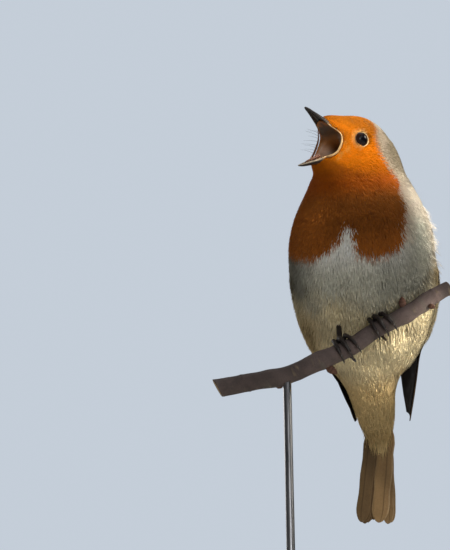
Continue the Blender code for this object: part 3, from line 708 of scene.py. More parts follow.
coatMaterial = paintedMaterial(
    "plumage", 0.8, 900.0, 0.14, (0.2, 0.00015), False,
    Sheen_Weight=0.02, Sheen_Roughness=0.5, Specular_IOR_Level=0.05)
downMaterial = paintedMaterial(
    "under_down", 0.9, 500.0, 0.14, (0.2, 0.00015), False,
    Sheen_Weight=0.0, Sheen_Roughness=0.5, Specular_IOR_Level=0.05)
fleshMaterial = paintedMaterial(
    "mouth_flesh", 0.42, 900.0, 0.25, (0.3, 0.0002),
    Coat_Weight=0.08, Coat_Roughness=0.3, Specular_IOR_Level=0.3)
hornMaterial = paintedMaterial(
    "bill_horn", 0.36, 700.0, 0.22, (0.2, 0.0001), Coat_Weight=0.15, Coat_Roughness=0.3)
clawMaterial = paintedMaterial(
    "claw_horn", 0.33, 900.0, 0.25, (0.2, 0.0001), Coat_Weight=0.2, Coat_Roughness=0.25)
legMaterial = paintedMaterial("leg_scales", 0.5, 900.0, 0.3, (0.35, 0.00012))
barkMaterial = paintedMaterial("bark", 0.8, 420.0, 0.5, (0.8, 0.0005))
skinMaterials = [downMaterial, fleshMaterial, hornMaterial]
print("materials ready")


# skin: one closed form for trunk, neck and head, with the mouth and the eye sockets cut in

skin = {
    "rows": 190, "columns": 150, "mouthSides": 56, "socketRoom": 0.18, "shade": 0.55,
    # the front colour is painted shade on the roof under the upper bill
    "roof": screen(142, 90, 38), "walls": screen(196, 158, 130), "front": screen(58, 48, 36),
}
#  each half of the bill; its table gives share of the length, half width, depth and depth of the hollow
bill = {
    "rows": 44, "arch": 26, "hollow": 22, "hook": 0.5, "rim": 0.45, "nostril": (11.6, 1.7, 3.4),
    "horn": (screen(44, 38, 36), screen(104, 84, 66)),
    "upper": {
        "side": 1, "at": (11.6, 0.0, 0.95), "length": 10.6, "slope": 13.2,
        "table": np.array([(0, 3.5, 2.0, 0.9), (0.25, 2.8, 1.8, 0.8), (0.5, 2.0, 1.35, 0.6),
                           (0.75, 1.2, 0.95, 0.4), (0.92, 0.65, 0.7, 0.2), (1, 0.3, 0.45, 0.1)]),
        # the lining's first colour, at the tip, is dark horn with painted shade
        "lining": (screen(30, 27, 25), screen(66, 46, 28)), "edge": screen(206, 178, 140),
    },
    "lower": {
        "side": -1, "at": (9.6, 0.0, -7.4), "length": 9.9, "slope": -43.4,
        "table": np.array([(0, 3.4, 1.9, 1.0), (0.3, 2.7, 1.7, 0.9), (0.6, 1.75, 1.3, 0.6),
                           (0.88, 0.8, 0.8, 0.3), (1, 0.3, 0.4, 0.1)]),
        "lining": (screen(160, 132, 108), screen(176, 146, 124)), "edge": screen(214, 192, 162),
    },
}


def mouthOval(forward, angle):
    # points of the mouth's squarish oval at each distance forward: across it, and about its middle height
    half, top, bottom = (smoothTable(forward, mouth, column) for column in (1, 2, 3))
    across, up = (np.sign(wave) * np.abs(wave) ** mouthRound for wave in (np.cos(angle), np.sin(angle)))
    middle, tall = (top + bottom) / 2, (top - bottom) / 2
    return np.stack([forward + 0 * across, half * across, middle + tall * up], axis=-1)


def cutAway(piece, tool):
    modifier = piece.modifiers.new("cut", "BOOLEAN")
    modifier.operation = "DIFFERENCE"
    modifier.object = tool
    bpy.context.view_layer.update()
    cut = bpy.data.meshes.new_from_object(piece.evaluated_get(bpy.context.evaluated_depsgraph_get()))
    piece.modifiers.clear()
    piece.data = cut
    bpy.data.objects.remove(tool)


def cutter(name, rings, which, place):
    # a closed tool that leaves one of the skin's materials on what it cuts
    shape = closedTube(rings)
    faces = np.full(len(shape[1]) + len(shape[2]), which)
    return addPiece(name, shape, skinMaterials, place=place, faceMaterial=faces, shown=False)


def skinColours(spots):
    # the plumage's markings, darker; in the mouth a brown roof and paler walls, with painted shade under the
    # front of the roof and deep down the throat
    local = toHead(spots)
    inside = fade(bodyGap(spots) + coatDepth(spots), -0.15, -0.6) * fade(spots[:, 2], 38, 42)
    wall = fade(np.abs(local[:, 1]), 1.0, 3.6) * fade(local[:, 2], -0.5, -4.0)
    flesh = between(skin["roof"], skin["walls"], wall[:, None])
    # painted shade on the roof's front, under the upper bill
    front = fade(local[:, 0], 7.5, 10.5) * fade(local[:, 2], -2.6, -0.6)
    flesh = between(flesh, skin["front"], (front * 0.8)[:, None])
    # painted shade deep down the throat
    flesh = paintShade(flesh, 0.7, fade(local[:, 0], 7, 2))
    return between(markings(spots) * skin["shade"], flesh, inside[:, None])


def makeSkin():
    # field surface on a grid of stops up the spine and angles round it
    stops = np.linspace(body["low"], bodyTop, skin["rows"])
    shape = closedTube(outlinePoint(stops[:, None], fullTurn(skin["columns"])[None], skinGap))
    piece = addPiece("skin", shape, skinMaterials, place=fromBird, shown=False)
    forward = np.concatenate([np.linspace(1.8, 10, 26), np.linspace(11, 24, 9)])
    rings = mouthOval(forward[:, None], fullTurn(skin["mouthSides"]))
    cutAway(piece, cutter("mouthTool", rings, 1, headToRoom))
    for side in (1, -1):
        centre = fromHead(eye["at"] * (1, side, 1))
        socket = ball(centre, [eye["radius"] + skin["socketRoom"]] * 3, 20, 32)
        cutAway(piece, cutter("socketTool", socket, 2, fromBird))
    mesh = piece.data
    spots = np.zeros(len(mesh.vertices) * 3, np.float32)
    mesh.vertices.foreach_get("co", spots)
    setTint(mesh, skinColours(toBird(spots.reshape(-1, 3) / millimetre)))
    mesh.set_sharp_from_angle(angle=math.radians(50))
    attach(piece, "root")
    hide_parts("trunk", "neck", "head")
    print("skin:", len(mesh.polygons), "faces")


makeSkin()


# wings: rows from the wrist to the tip

#  share, height, middle of the pair, half width, depth to the back, angles of the leading and the trailing
#  edge, thickness
wing = np.array([
    (0.00, 27.0, 0.4, 21.6, 17.0, 114, 146, 1.6), (0.12, 20.0, 0.2, 22.3, 18.4, 112, 160, 1.9),
    (0.30, 9.0, 0.5, 21.9, 19.4, 111, 167, 2.0), (0.50, -4.0, 0.9, 20.4, 19.4, 106, 169, 1.8),
    (0.65, -14.0, 1.6, 18.2, 18.6, 100, 168, 1.6), (0.80, -24.5, 3.0, 14.6, 17.8, 99, 158, 1.4),
    (0.92, -35.0, 4.0, 11.2, 17.0, 103, 152, 1.1), (1.00, -41.0, 4.8, 9.0, 16.4, 112, 142, 0.8),
])
wingCentre = 1.0  # how far left of the bird's middle the folded pair meets


def ovalReach(angle, half, back):
    # from the middle of an oval out to its edge
    return 1 / np.hypot(np.sin(angle) / half, np.cos(angle) / back)


def roundBack(points):
    # degrees round the pair's middle line: 0 at the breast, 180 at the back
    return np.degrees(np.arctan2(np.abs(points[..., 0] - wingCentre), -points[..., 1]))


def wingPoint(share, across, out, side):
    # on an oval round the spine, or clear of the plumage where that is wider; across 0 is the leading edge
    share, across, out, side = np.broadcast_arrays(share, across, out, side)
    height, middle, half, back, lead, trail, thick = (smoothTable(share, wing, k) for k in range(1, 8))
    angle = np.radians(lead + (trail - lead) * across)
    rays = np.stack([side * np.sin(angle), -np.cos(angle), 0 * angle], axis=-1)
    origin = np.stack([middle, 0 * height, height], axis=-1)
    clear = reach(origin, rays, bodyGap, 0.64, 45, 12)
    edge = np.sin(np.clip(across, 0, 1) * math.pi) ** 0.35
    under = np.maximum(ovalReach(angle, half, back) - thick, clear)
    distance = under + out * thick * (0.45 + 0.55 * edge)
    return origin + rays * distance[..., None]


def wingWidth(share):
    # length of the arc across the folded wing
    half, back, lead, trail = (smoothTable(share, wing, k) for k in (3, 4, 5, 6))
    return np.radians(trail - lead) * (half + back) / 2


def wingOver(points, extra):
    # moves plumage that meets the folded wing out over its feathers
    height = points[..., 2]
    share = np.interp(-height, -wing[:, 1], wing[:, 0])
    middle, half, back, lead, trail, thick = (smoothTable(share, wing, k) for k in (2, 3, 4, 5, 6, 7))
    x, y = points[..., 0] - middle, points[..., 1]
    angle, far = np.degrees(np.arctan2(np.abs(x), -y)), np.hypot(x, y)
    within = fade(angle, lead - 5, lead + 1) * fade(angle, trail + 5, trail)
    within = within * fade(height, 30, 26) * fade(height, -20, -12)
    need = np.maximum(ovalReach(np.radians(angle), half, back), far + thick * 0.9) + extra
    grown = far + (need - far) * within * (need > far)
    return np.stack([middle + x * grown / far, y * grown / far, height], axis=-1)


# coat: tufts of locks, each lock a thin three-sided blade

coat = {
    "rows": 280, "columns": 240, "cover": 17.0, "patch": 0.0015, "headFrom": 41,
    "lockWidth": 0.34, "lockThick": 0.08, "headThick": 0.07, "headLocks": 3, "bodyLocks": 7,
    "loose": 0.14,  # share of the feathers at the shoulder that stand off
    #  lowest and highest place of each band of the trunk
    "bands": {"neck": (30, 41), "breast": (14, 30), "belly": (-3, 14), "loin": (-20, -3), "vent": (-50, -20)},
}


def featherLength(points):
    # short on the face, longest on the flanks and under the tail
    onHead = np.interp(toHead(points)[..., 0], (-9, -3, 2, 6, 9, 11), (4.2, 3.2, 2.3, 1.7, 1.15, 0.9))
    onBody = np.interp(points[..., 2], (-46, -25, 0, 15, 28, 40), (9.5, 8.5, 8.0, 7.0, 5.6, 4.2))
    return between(onBody, onHead, fade(points[..., 2], 36, 43))


def featherWidth(length):
    return 0.36 * length + 0.5


def flowOf(points, normals):
    # the lie of the coat: back from the bill on the head, down the body, and back over the wing on the flanks
    height = points[..., 2]
    fromBill = unit(points - fromHead(np.array((17.0, 0.0, -2.0))))
    down = np.broadcast_to(np.array((0.0, 0.0, -1.0)), points.shape)
    side = np.sign(points[..., 0] - wingCentre)
    wide = roundBack(points)
    drape = fade(wide, 48, 88) * fade(wide, 140, 112) * fade(height, 24, 8) * fade(height, -26, -12)
    outward = side * 0.10 * fade(wide, 12, 40) * fade(height, -20, 0)
    way = between(down, fromBill, fade(height, 30, 47)[..., None])
    way = way + np.stack([outward, 0.55 * drape, 0 * side], axis=-1)
    return unit(way - normals * np.sum(way * normals, axis=-1, keepdims=True))


def spreadRoots():
    # an even quasi-random spread over the outline, closer where the feathers are small: one number picks
    # the row by its share of the weight, the other the column within it
    stops = np.linspace(body["low"] + 0.5, bodyTop - 0.2, coat["rows"])
    angles = np.linspace(-math.pi, math.pi, coat["columns"] + 1)
    grid = outlinePoint(stops[:, None], angles[None], coatGap)
    corner, above, beside, across = grid[:-1, :-1], grid[1:, :-1], grid[:-1, 1:], grid[1:, 1:]
    area = np.linalg.norm(np.cross(above - corner, beside - corner), axis=-1)
    centre = (corner + above + beside + across) / 4
    length = featherLength(centre)
    weight = area * coat["cover"] / (length * featherWidth(length)) * shownShare(centre)
    rows, total = weight.sum(1), weight.sum()
    k = np.arange(int(total))
    u, v = (0.5 + k * 0.7548776662) % 1, (0.5 + k * 0.5698402910) % 1
    edge = np.concatenate([[0], np.cumsum(rows) / total])
    row = np.clip(np.searchsorted(edge, u) - 1, 0, len(rows) - 1)
    up = (u - edge[row]) / (edge[row + 1] - edge[row] + 1e-12)
    share = np.cumsum(weight, axis=1)
    share = np.concatenate([np.zeros((len(rows), 1)), share / (share[:, -1:] + 1e-12)], axis=1)[row]
    column = np.clip((share < v[:, None]).sum(1) - 1, 0, coat["columns"] - 1)
    near, far = share[k, column], share[k, column + 1]
    along = (v - near) / (far - near + 1e-12)
    stop = between(stops[row], stops[row + 1], up)
    angle = between(angles[column], angles[column + 1], along)
    low = between(corner[row, column], above[row, column], up[:, None])
    high = between(beside[row, column], across[row, column], up[:, None])
    points = between(low, high, along[:, None])
    normals = normalOf(points, coatGap)
    return points - normals * coatGap(points)[:, None], normals, stop, angle


def shownShare(points):
    # no feathers in the mouth, on the eyes or the bill, nor deep under the folded wings
    local, height = toHead(points), points[..., 2]
    inMouth = (mouthGap(local) < 0.25) & (height > 38)
    onEye = np.linalg.norm(bothSides(local) - eye["at"], axis=-1) < eye["radius"] + 0.45
    onBill = (local[..., 0] > 14.4) & (local[..., 2] > -4)
    share = np.interp(-height, -wing[:, 1], wing[:, 0])
    lead, trail = smoothTable(share, wing, 5), smoothTable(share, wing, 6)
    angle, onRight = roundBack(points), points[..., 0] < 0
    under = (angle > lead + 7 - 9 * onRight) & (angle < trail - 7)
    under = under & (height < 22) & (height > -17 - 17 * onRight)
    return np.where(inMouth | onEye | onBill | under | (twigGap(points) < 0.7), 0.0, 1.0)


#  one lock: three rings of three points and a tip
bladeStops = np.array((0.0, 0.38, 0.74, 1.0))
bladeQuads = np.array([(0, 1, 4, 3), (1, 2, 5, 4), (2, 0, 3, 5), (3, 4, 7, 6), (4, 5, 8, 7), (5, 3, 6, 8)])
bladeTriangles = np.array([(0, 2, 1), (6, 7, 9), (7, 8, 9), (8, 6, 9)])
bladeFaces = 2 * len(bladeQuads) + len(bladeTriangles)


def alongBlade(values):
    # one value for each of a lock's four stops, given to its ten points
    return np.repeat(np.asarray(values), (3, 3, 3, 1))


def buildTufts(roots, normals, flows, length, width, locks, wide, thick, lift, sink, tint, spot):
    # each lock runs from its root down the lie of the coat: across = spread x (0.35 + 0.75 t) + drift x t^2,
    # and its height over the outline goes from -sink at the root to lift at the tip
    count = len(roots)
    side = np.cross(normals, flows)
    u = np.linspace(-1, 1, locks)[None] + random.normal(0, 0.14, (count, locks))
    run = length[:, None] * (1 - 0.26 * u**2) * random.uniform(0.84, 1.12, (count, locks))
    drift = random.normal(0, 0.07, (count, locks)) * run
    across = (width[:, None] / 2 * u)[..., None] * (0.35 + 0.75 * bladeStops)
    across = across + drift[..., None] * bladeStops**2
    line = roots[:, None, None] + (run[..., None] * bladeStops)[..., None] * flows[:, None, None]
    line = line + across[..., None] * side[:, None, None]
    raised = lift[:, None] * random.uniform(0.3, 1.3, (count, locks))
    height = -sink[:, None, None] * (1 - bladeStops) ** 1.4 + raised[..., None] * bladeStops**2
    up = normals[:, None, None]
    for _ in range(3):
        line = line + up * np.clip(height - coatGap(line), -1.5, 1.5)[..., None]
    line = wingOver(line, 0.12)
    out = (wide[:, None, None] / 2 * np.array((0.8, 1.0, 0.8)))[..., None] * side[:, None, None]
    tall = (thick[:, None, None] * np.array((0.7, 1.0, 0.7)))[..., None] * up
    stem, tip = line[:, :, :3], line[:, :, 3:]
    rings = np.stack([stem - out, stem + out, stem + tall], axis=3)
    points = np.concatenate([rings.reshape(count, locks, 9, 3), tip], axis=2)
    start = (np.arange(count * locks) * 10)[:, None, None]
    jitter = random.normal(1.0, 0.045, (count, 1)) * random.normal(1.0, 0.045, (count, locks))
    shade = jitter[..., None] * alongBlade((0.60, 0.90, 1.0, 1.06))
    colours = np.clip(tint[:, None, None] * shade[..., None], 0, 1)
    patch = np.broadcast_arrays((u * 0.8)[..., None], alongBlade(bladeStops) * 2 - 1)
    patch = np.clip(np.stack(patch, axis=-1), -1, 1) * coat["patch"]
    maps = np.clip(spot[:, None, None] + patch, 0.0, 1.0)
    shape = (points.reshape(-1, 3), bladeQuads[None] + start, bladeTriangles[None] + start)
    return shape, colours.reshape(-1, 3), maps.reshape(-1, 2)


def coatRegions(points, degrees, onHead):
    # which feathers belong to which piece: face, crown, cheeks, and bands of the trunk, left and right
    local = toHead(points)
    face, top, left = local[:, 0] > 4, local[:, 2] > -2, local[:, 1] >= 0
    regions = {
        "coat_face_left": onHead & face & left, "coat_face_right": onHead & face & ~left,
        "coat_crown": onHead & ~face & top, "coat_cheeks": onHead & ~face & ~top,
    }
    for word, (bottom, top) in coat["bands"].items():
        inBand = ~onHead & (points[:, 2] > bottom) & (points[:, 2] <= top)
        regions[f"coat_{word}_left"] = inBand & (degrees >= 0)
        regions[f"coat_{word}_right"] = inBand & (degrees < 0)
    return regions


def makeCoat():
    points, normals, stop, angle = spreadRoots()
    height, degrees, wide = points[:, 2], np.degrees(angle), roundBack(points)
    flows = flowOf(points, normals)
    onHead = height > coat["headFrom"]
    length = featherLength(points) * random.uniform(0.85, 1.15, len(points))
    onFlank = fade(wide, 60, 85) * fade(wide, 125, 105) * fade(height, 22, 8) * fade(height, -34, -20)
    length *= 1 + 0.35 * onFlank
    tint = markings(points + flows * (length * 0.6)[:, None])
    lift = np.where(onHead, 0.12, 0.30 + 0.25 * fade(height, 18, 0)) * (0.5 + 0.5 * fade(length, 1.0, 3.0))
    lift *= 1 - 0.7 * fade(height, -12, -24)
    loose = (random.uniform(0, 1, len(points)) < coat["loose"]) * fade(degrees, 62, 76)
    loose = loose * fade(degrees, 112, 100) * fade(height, 10, 17) * fade(height, 33, 29)
    lift += loose * random.uniform(0.4, 2.0, len(points)) * ~onHead
    lockWidth = np.where(onHead, 0.20 + 0.02 * length, coat["lockWidth"])
    lockThick = np.where(onHead, coat["headThick"], coat["lockThick"])
    # each root's place on the skin's unwrap: once round across, from tail to crown upwards
    up = 0.01 + 0.98 * (stop - body["low"]) / (bodyTop - body["low"])
    spot = np.stack([(angle + math.pi) / (2 * math.pi), up], axis=1)
    made = (lockWidth, lockThick, lift, coatDepth(points) * 0.9 + 0.1, tint, spot)
    for name, chosen in coatRegions(points, degrees, onHead).items():
        locks = coat["headLocks"] if onHead[chosen].any() else coat["bodyLocks"]
        lie = (part[chosen] for part in (points, normals, flows, length, featherWidth(length)))
        shape, colours, maps = buildTufts(*lie, locks, *(part[chosen] for part in made))
        addPiece(name, shape, coatMaterial,
                 place=fromBird, maps={"OFBake": maps}, colours=colours)
        print(name, chosen.sum(), "tufts", chosen.sum() * locks * bladeFaces, "triangles")


makeCoat()


# flight feathers and coverts: closed vanes laid over one another on the folded wing

vane = {"rows": 22, "thick": 0.10, "shaft": 0.14, "shaftAt": -0.28}
vaneAcross = np.array((-1.0, -0.72, -0.42, -0.28, -0.14, 0.2, 0.62, 1.0))
#  per group: how many, root share and across, tip share and across, half width, lift; from first to last
wingGroups = {
    "primaries": (9, (0.26, 0.22), (0.02, 0.30), (0.985, 0.80), (0.10, 0.66), (2.6, 2.9), (0.06, 0.42)),
    "secondaries": (6, (0.20, 0.16), (0.24, 0.60), (0.745, 0.70), (0.46, 0.80), (3.0, 3.3), (0.46, 0.68)),
    "tertials": (3, (0.15, 0.12), (0.62, 0.80), (0.70, 0.50), (0.80, 0.92), (3.5, 3.3), (0.74, 0.92)),
    "primary_coverts": (6, (0.12, 0.10), (0.0, 0.16), (0.47, 0.38), (0.02, 0.24), (1.3, 1.5), (0.50, 0.62)),
    "greater_coverts": (
        10, (0.08, 0.05), (0.04, 0.86), (0.365, 0.345), (0.10, 0.96), (2.3, 2.4), (0.78, 0.96)),
    "alula": (3, (0.07, 0.05), (0.0, 0.02), (0.36, 0.25), (0.0, 0.04), (1.3, 1.3), (0.78, 0.9)),
    "median_coverts": (10, (0.02, 0.0), (0.02, 0.92), (0.225, 0.205), (0.05, 0.98), (2.3, 2.3), (0.98, 1.05)),
    "lesser_coverts": (11, (0.0, 0.0), (0.0, 0.98), (0.135, 0.125), (0.0, 1.0), (2.0, 2.0), (1.02, 1.06)),
}
#  the solid that a group takes the place of
wingCovers = {
    "primaries": "wing_primaries", "secondaries": "wing_secondaries", "greater_coverts": "wing_coverts",
}


def vaneOutline(rows):
    # half width along a feather: narrow quill, even vane, rounded tip
    t = np.sin(np.linspace(0, 1, rows) * math.pi / 2) ** 1.25
    tip = np.sqrt(np.clip(1 - (np.clip(t - 0.86, 0, 1) / 0.14) ** 2, 0, 1))
    return t, (0.22 + 0.78 * fade(t, 0.0, 0.28)) * np.maximum(tip, 0.06)


def buildVanes(root, tip, halfWidth, lift, tilt, surface, shade, bow=0.16, under=1.0):
    # root and tip are (n, 2) places on a surface; each vane bows across its width and has a raised shaft
    count, v = len(root), vaneAcross
    t, outline = vaneOutline(vane["rows"])
    along = between(root[:, None, :], tip[:, None, :], np.stack([t, t**1.15], axis=-1)[None])
    ripple = 1 + 0.05 * np.sin(t * 21 + np.arange(count)[:, None] * 1.7)
    across = (halfWidth[:, None] * outline * ripple)[..., None] * v
    share, place = along[:, :, None, 0] + 0 * v, along[:, :, None, 1]
    fromShaft = v - vane["shaftAt"]
    ridge = vane["shaft"] * np.exp(-((fromShaft / 0.07) ** 2)) * (1 - 0.7 * t[:, None])
    height = lift[:, None, None] - tilt * v - bow * fromShaft**2 + 0 * across
    outer = surface(share, place, across, height, ridge + vane["thick"] * 0.5)
    inner = surface(share, place, across, height, -ridge * 0.7 - vane["thick"] * 0.5)
    points, quads = closedSheets(outer, inner)
    spots = np.stack(np.broadcast_arrays((v + 1) / 2, t[:, None]), axis=-1).reshape(-1, 2)
    # the inner sheets take the colours times under: painted shade on the feathers' undersides
    sides = np.stack([shade, shade * under], axis=1).reshape(-1, 3)
    return (points, quads), np.tile(spots, (2 * count, 1)), np.repeat(sides, len(spots), axis=0)


def wingSurface(side):
    def surface(share, across, offset, lift, out):
        spot = across + offset / wingWidth(np.clip(share, 0, 1))
        thick = smoothTable(share, wing, 7)
        extra = np.minimum(share, 0) * (wing[0, 1] - wing[1, 1]) / 0.12
        raised = 0.5 * fade(share, 0.62, 0.92)
        points = wingPoint(np.clip(share, 0, 1), spot, lift + raised + out / thick, side)
        points[..., 2] -= extra
        return points
    return surface


wingMaterial = vaneMaterial(
    "wing_vanes", screen(40, 33, 28), screen(112, 84, 54), screen(58, 48, 38), 0.36, 0.14, 60.0)
covertMaterial = vaneMaterial(
    "covert_vanes", screen(104, 84, 54), screen(140, 112, 70), screen(118, 98, 66), 0.36, 0.16, 30.0)
tailMaterial = vaneMaterial(
    "tail_vanes", screen(160, 128, 88), screen(190, 160, 122), screen(180, 148, 108), 0.36, 0.10, 70.0)
# the lining sheet's near-black is painted shade inside the folded wing
liningShadeMaterial = paintedMaterial("wing_lining", 0.85, 400.0, 0.3, (0.3, 0.0003), Specular_IOR_Level=0.1)
#  where the tips of the primaries and the tertials stand, from first to last
primaryTips = ((0, 0.125, 0.3, 0.5, 0.75, 1), (0.975, 0.992, 1.0, 0.995, 0.965, 0.87))
tertialTips = np.array((0.70, 0.63, 0.53))


def makeWing(side, word):
    for group, (count, *ends) in wingGroups.items():
        k = np.linspace(0, 1, count)
        rootShare, rootAcross, tipShare, tipAcross, half, lift = (between(*pair, k) for pair in ends)
        if group == "primaries":
            tipShare = np.interp(k, *primaryTips)
        if group == "tertials":
            tipShare = tertialTips
        root = np.stack([rootShare, rootAcross], axis=1)
        tip = np.stack([tipShare, tipAcross], axis=1) + random.normal(0, 0.006, (count, 2))
        shade = random.normal(1.0, 0.05, (count, 1)) * np.ones((1, 3))
        # the undersides at 0.35 of the colour are painted shade
        shape, spots, colours = buildVanes(root, tip, half, lift, 0.05, wingSurface(side), shade, under=0.35)
        small = group == "alula" or ("coverts" in group and group != "primary_coverts")
        nodes = (f"{wingCovers[group]}_{word}",) if group in wingCovers else ()
        addPiece(f"{group}_{word}", shape, covertMaterial if small else wingMaterial, nodes,
                 place=fromBird, maps={"vane": spots}, colours=colours)
    # a near-black sheet under the feathers: painted shade inside the folded wing
    share, across = np.linspace(0.0, 0.97, 30)[:, None], np.linspace(0.03, 0.97, 16)[None]
    shape = closedSheets(*(wingPoint(share, across, out, side)[None] for out in (0.10, -0.05)))
    addPiece(f"wing_lining_{word}", shape, liningShadeMaterial, place=fromBird,
             colours=np.tile(screen(26, 22, 18), (len(shape[0]), 1)))


for side, word in ((1, "left"), (-1, "right")):
    makeWing(side, word)
print("wings ready")


# tail: six pairs, the outermost lowest

tail = {
    "top": -46.0, "length": 29.3, "at": (3.1, 5.4), "droop": 5.0, "slant": 1.9, "notch": 1.8, "hidden": 8.0,
    "half": 1.95, "outerHalf": (2.8, 2.3), "leftTips": np.array((0.7, 2.0, 3.3, 4.2, 3.4, 0.5)),
    # painted light on the bird's left stack and its outer feather, painted shade on the right stack, painted
    # shadow on the bases
    "shades": (1.05, 0.6), "outerPaintedLight": 1.3, "coverShadow": 0.45,
}
tailDroop = math.radians(tail["droop"])
tailAlong = np.array([0.0, -math.sin(tailDroop), -math.cos(tailDroop)])
tailBack = np.array([0.0, math.cos(tailDroop), -math.sin(tailDroop)])


def tailSurface(share, across, offset, lift, out):
    # share runs down the tail in its visible lengths, lift towards the bird's back
    points = np.array([*tail["at"], tail["top"]]) + (share * tail["length"])[..., None] * tailAlong
    points = points + (lift - out)[..., None] * tailBack
    points[..., 0] += across + offset - tail["slant"] * share
    return points


def makeTail():
    pair, side = np.repeat(np.arange(6), 2), np.tile((1, -1), 6)
    left, outer = side > 0, pair == 5
    short = tail["notch"] * (1 - (pair / 5) ** 1.5) + 0.9 * outer
    ends = 1 - short / tail["length"] + random.normal(0, 0.005, 12)
    root = np.stack([-tail["hidden"] / tail["length"] + 0 * pair, side * (0.3 + 0.42 * pair)], axis=1)
    tip = np.stack([ends, np.where(left, tail["leftTips"][pair], -0.7 - 0.92 * pair)], axis=1)
    half = np.where(outer, np.where(left, *tail["outerHalf"]), tail["half"])
    lift = 0.95 - 0.31 * pair
    # painted light and shade: the left stack lighter, its outer feather lightest, the right stack darker
    tone = np.where(left & outer, tail["outerPaintedLight"], np.where(left, *tail["shades"]))
    shade = (random.normal(1.0, 0.05, 12) * tone)[:, None] * np.ones((1, 3))
    pieces = []
    for way in (1, -1):
        def surface(share, across, offset, height, out):
            return tailSurface(share, across, -way * offset, height, out)
        chosen = side == way
        pieces.append(buildVanes(root[chosen], tip[chosen], half[chosen], lift[chosen], 0.10, surface,
                                 shade[chosen], 0.10))
    (leftPoints, leftQuads), rightShape = (part[0] for part in pieces)
    shape = joined((leftPoints, leftQuads[:, ::-1]), rightShape)
    spots, colours = (np.concatenate([part[k] for part in pieces]) for k in (1, 2))
    # painted shadow of the coverts: the vanes darker towards their bases, behind a slanting edge
    base = fade(shape[0][:, 2] + 1.2 * shape[0][:, 0], -66, -52)
    addPiece("tail_feathers", shape, tailMaterial, ("tail",), place=fromBird,
             maps={"vane": spots}, colours=paintShade(colours, tail["coverShadow"], base))
    print("tail ready")


makeTail()


# bill: arched horn sheaths with pale cutting edges, ridged palate, nostrils

tongue = {"sides": 16, "colour": screen(150, 104, 84)}


def billPoint(word, run, across, out):
    # run along a half of the bill, across it and out from its cutting edge
    half = bill[word]
    steep = math.radians(half["slope"])
    along = np.array([math.cos(steep), 0.0, math.sin(steep)])
    outward = np.array([-math.sin(steep), 0.0, math.cos(steep)]) * half["side"]
    points = np.array(half["at"]) + run[..., None] * along + out[..., None] * outward
    points[..., 1] += across
    return points


def makeBill(word):
    # outside an arch, on the upper half with a keel and nostrils; inside a hollow with ridges
    half = bill[word]
    rows, arch, isUpper = bill["rows"], bill["arch"], half["side"] > 0
    share = np.linspace(0, 1, rows)
    wide, depth, hollow = (smoothTable(share, half["table"], column) for column in (1, 2, 3))
    angle, inside = np.linspace(0, math.pi, arch), np.linspace(math.pi, 0, bill["hollow"])
    inner = np.maximum(wide - bill["rim"], 0.12)
    keel = 1 + 0.10 * np.exp(-(((angle - math.pi / 2) / 0.28) ** 2)) * isUpper
    pit = np.exp(-(((share[:, None] - 0.13) / 0.055) ** 2) - ((np.sin(angle)[None] - 0.62) / 0.13) ** 2)
    pit = pit * isUpper
    ridges = np.outer(fade(share, 0.02, 0.2) * fade(share, 0.95, 0.5), 0.16 * np.cos(np.cos(inside) * 9.0))
    across = np.concatenate([np.outer(wide, np.cos(angle)), np.outer(inner, np.cos(inside))], axis=1)
    outside = np.outer(depth, np.sin(angle) ** 0.8 * keel) - 0.35 * pit
    under = np.outer(hollow, np.sin(inside)) + ridges * np.sin(inside)
    out = np.concatenate([outside, under], axis=1) - bill["hook"] * isUpper * (share**3)[:, None]
    rings = billPoint(word, (share * half["length"])[:, None] + 0 * out, across, out)
    # dark horn outside, pale edge, warm brown inside that reddens towards the throat; in the upper half the
    # lining darkens to the tip, dark horn with painted shade
    edge = np.concatenate([1 - fade(np.sin(angle), 0.03, 0.24), fade(np.sin(inside), 0.10, 0.02)])
    edge[:2] = edge[arch - 2:arch] = 1
    within = np.concatenate([np.zeros(arch), fade(np.sin(inside), 0.05, 0.3)])
    horn = between(*bill["horn"], fade(share, 0.75, 0.0)[:, None] * 0.35)
    lining = between(*half["lining"], fade(share, 0.35, 0.0)[:, None])
    streaks = 1 + np.outer(fade(share, 1.0, 0.3), 0.25 * np.sin(inside * 14))
    lining = lining[:, None] * np.concatenate([np.ones((rows, arch)), streaks], axis=1)[..., None]
    tint = between(horn[:, None], lining, within[None, :, None])
    paleEdge = 0.8 * fade(share, 0.35, 0.05) if isUpper else 0.9 + 0 * share
    tint = between(tint, half["edge"], np.outer(paleEdge, edge)[..., None])
    # painted shade in the nostril pits
    tint[:, :arch] = paintShade(tint[:, :arch], 0.7, pit)
    if not isUpper:
        rings, tint = rings[:, ::-1], tint[:, ::-1]
    addPiece(f"bill_horn_{word}", closedTube(rings), hornMaterial, (f"bill_{word}",),
             place=headToRoom, colours=tubeColours(tint))


def makeTongue():
    # a flat arrow along the floor of the mouth
    share = np.linspace(0, 1, 26)
    path = billPoint("lower", 1.2 + share * bill["lower"]["length"] * 0.56, 0.0, -(0.5 - 0.3 * share))
    flat = 1 - 0.35 * np.abs(np.sin(fullTurn(tongue["sides"])))
    radii = np.outer(0.8 - 0.5 * share**1.5, flat)
    shape = closedTube(sweep(path, radii, tongue["sides"], np.array((0.3, 0, 1.0))))
    addPiece("tongue_flesh", shape, fleshMaterial, ("tongue",), place=headToRoom,
             colours=np.tile(tongue["colour"], (len(shape[0]), 1)))


for word in ("upper", "lower"):
    makeBill(word)
makeTongue()
print("bill ready")


# corner of the mouth: the pale fold that joins the two halves of the bill

gape = {
    "size": 0.33, "from": 72.0, "points": 60, "sides": 12, "bristles": 9,
    # the second outer colour, on the bird's right side, is darker: painted shade
    "inner": screen(120, 78, 48), "outer": (screen(216, 178, 126), screen(140, 96, 60)),
    "bristle": screen(44, 32, 26),
}


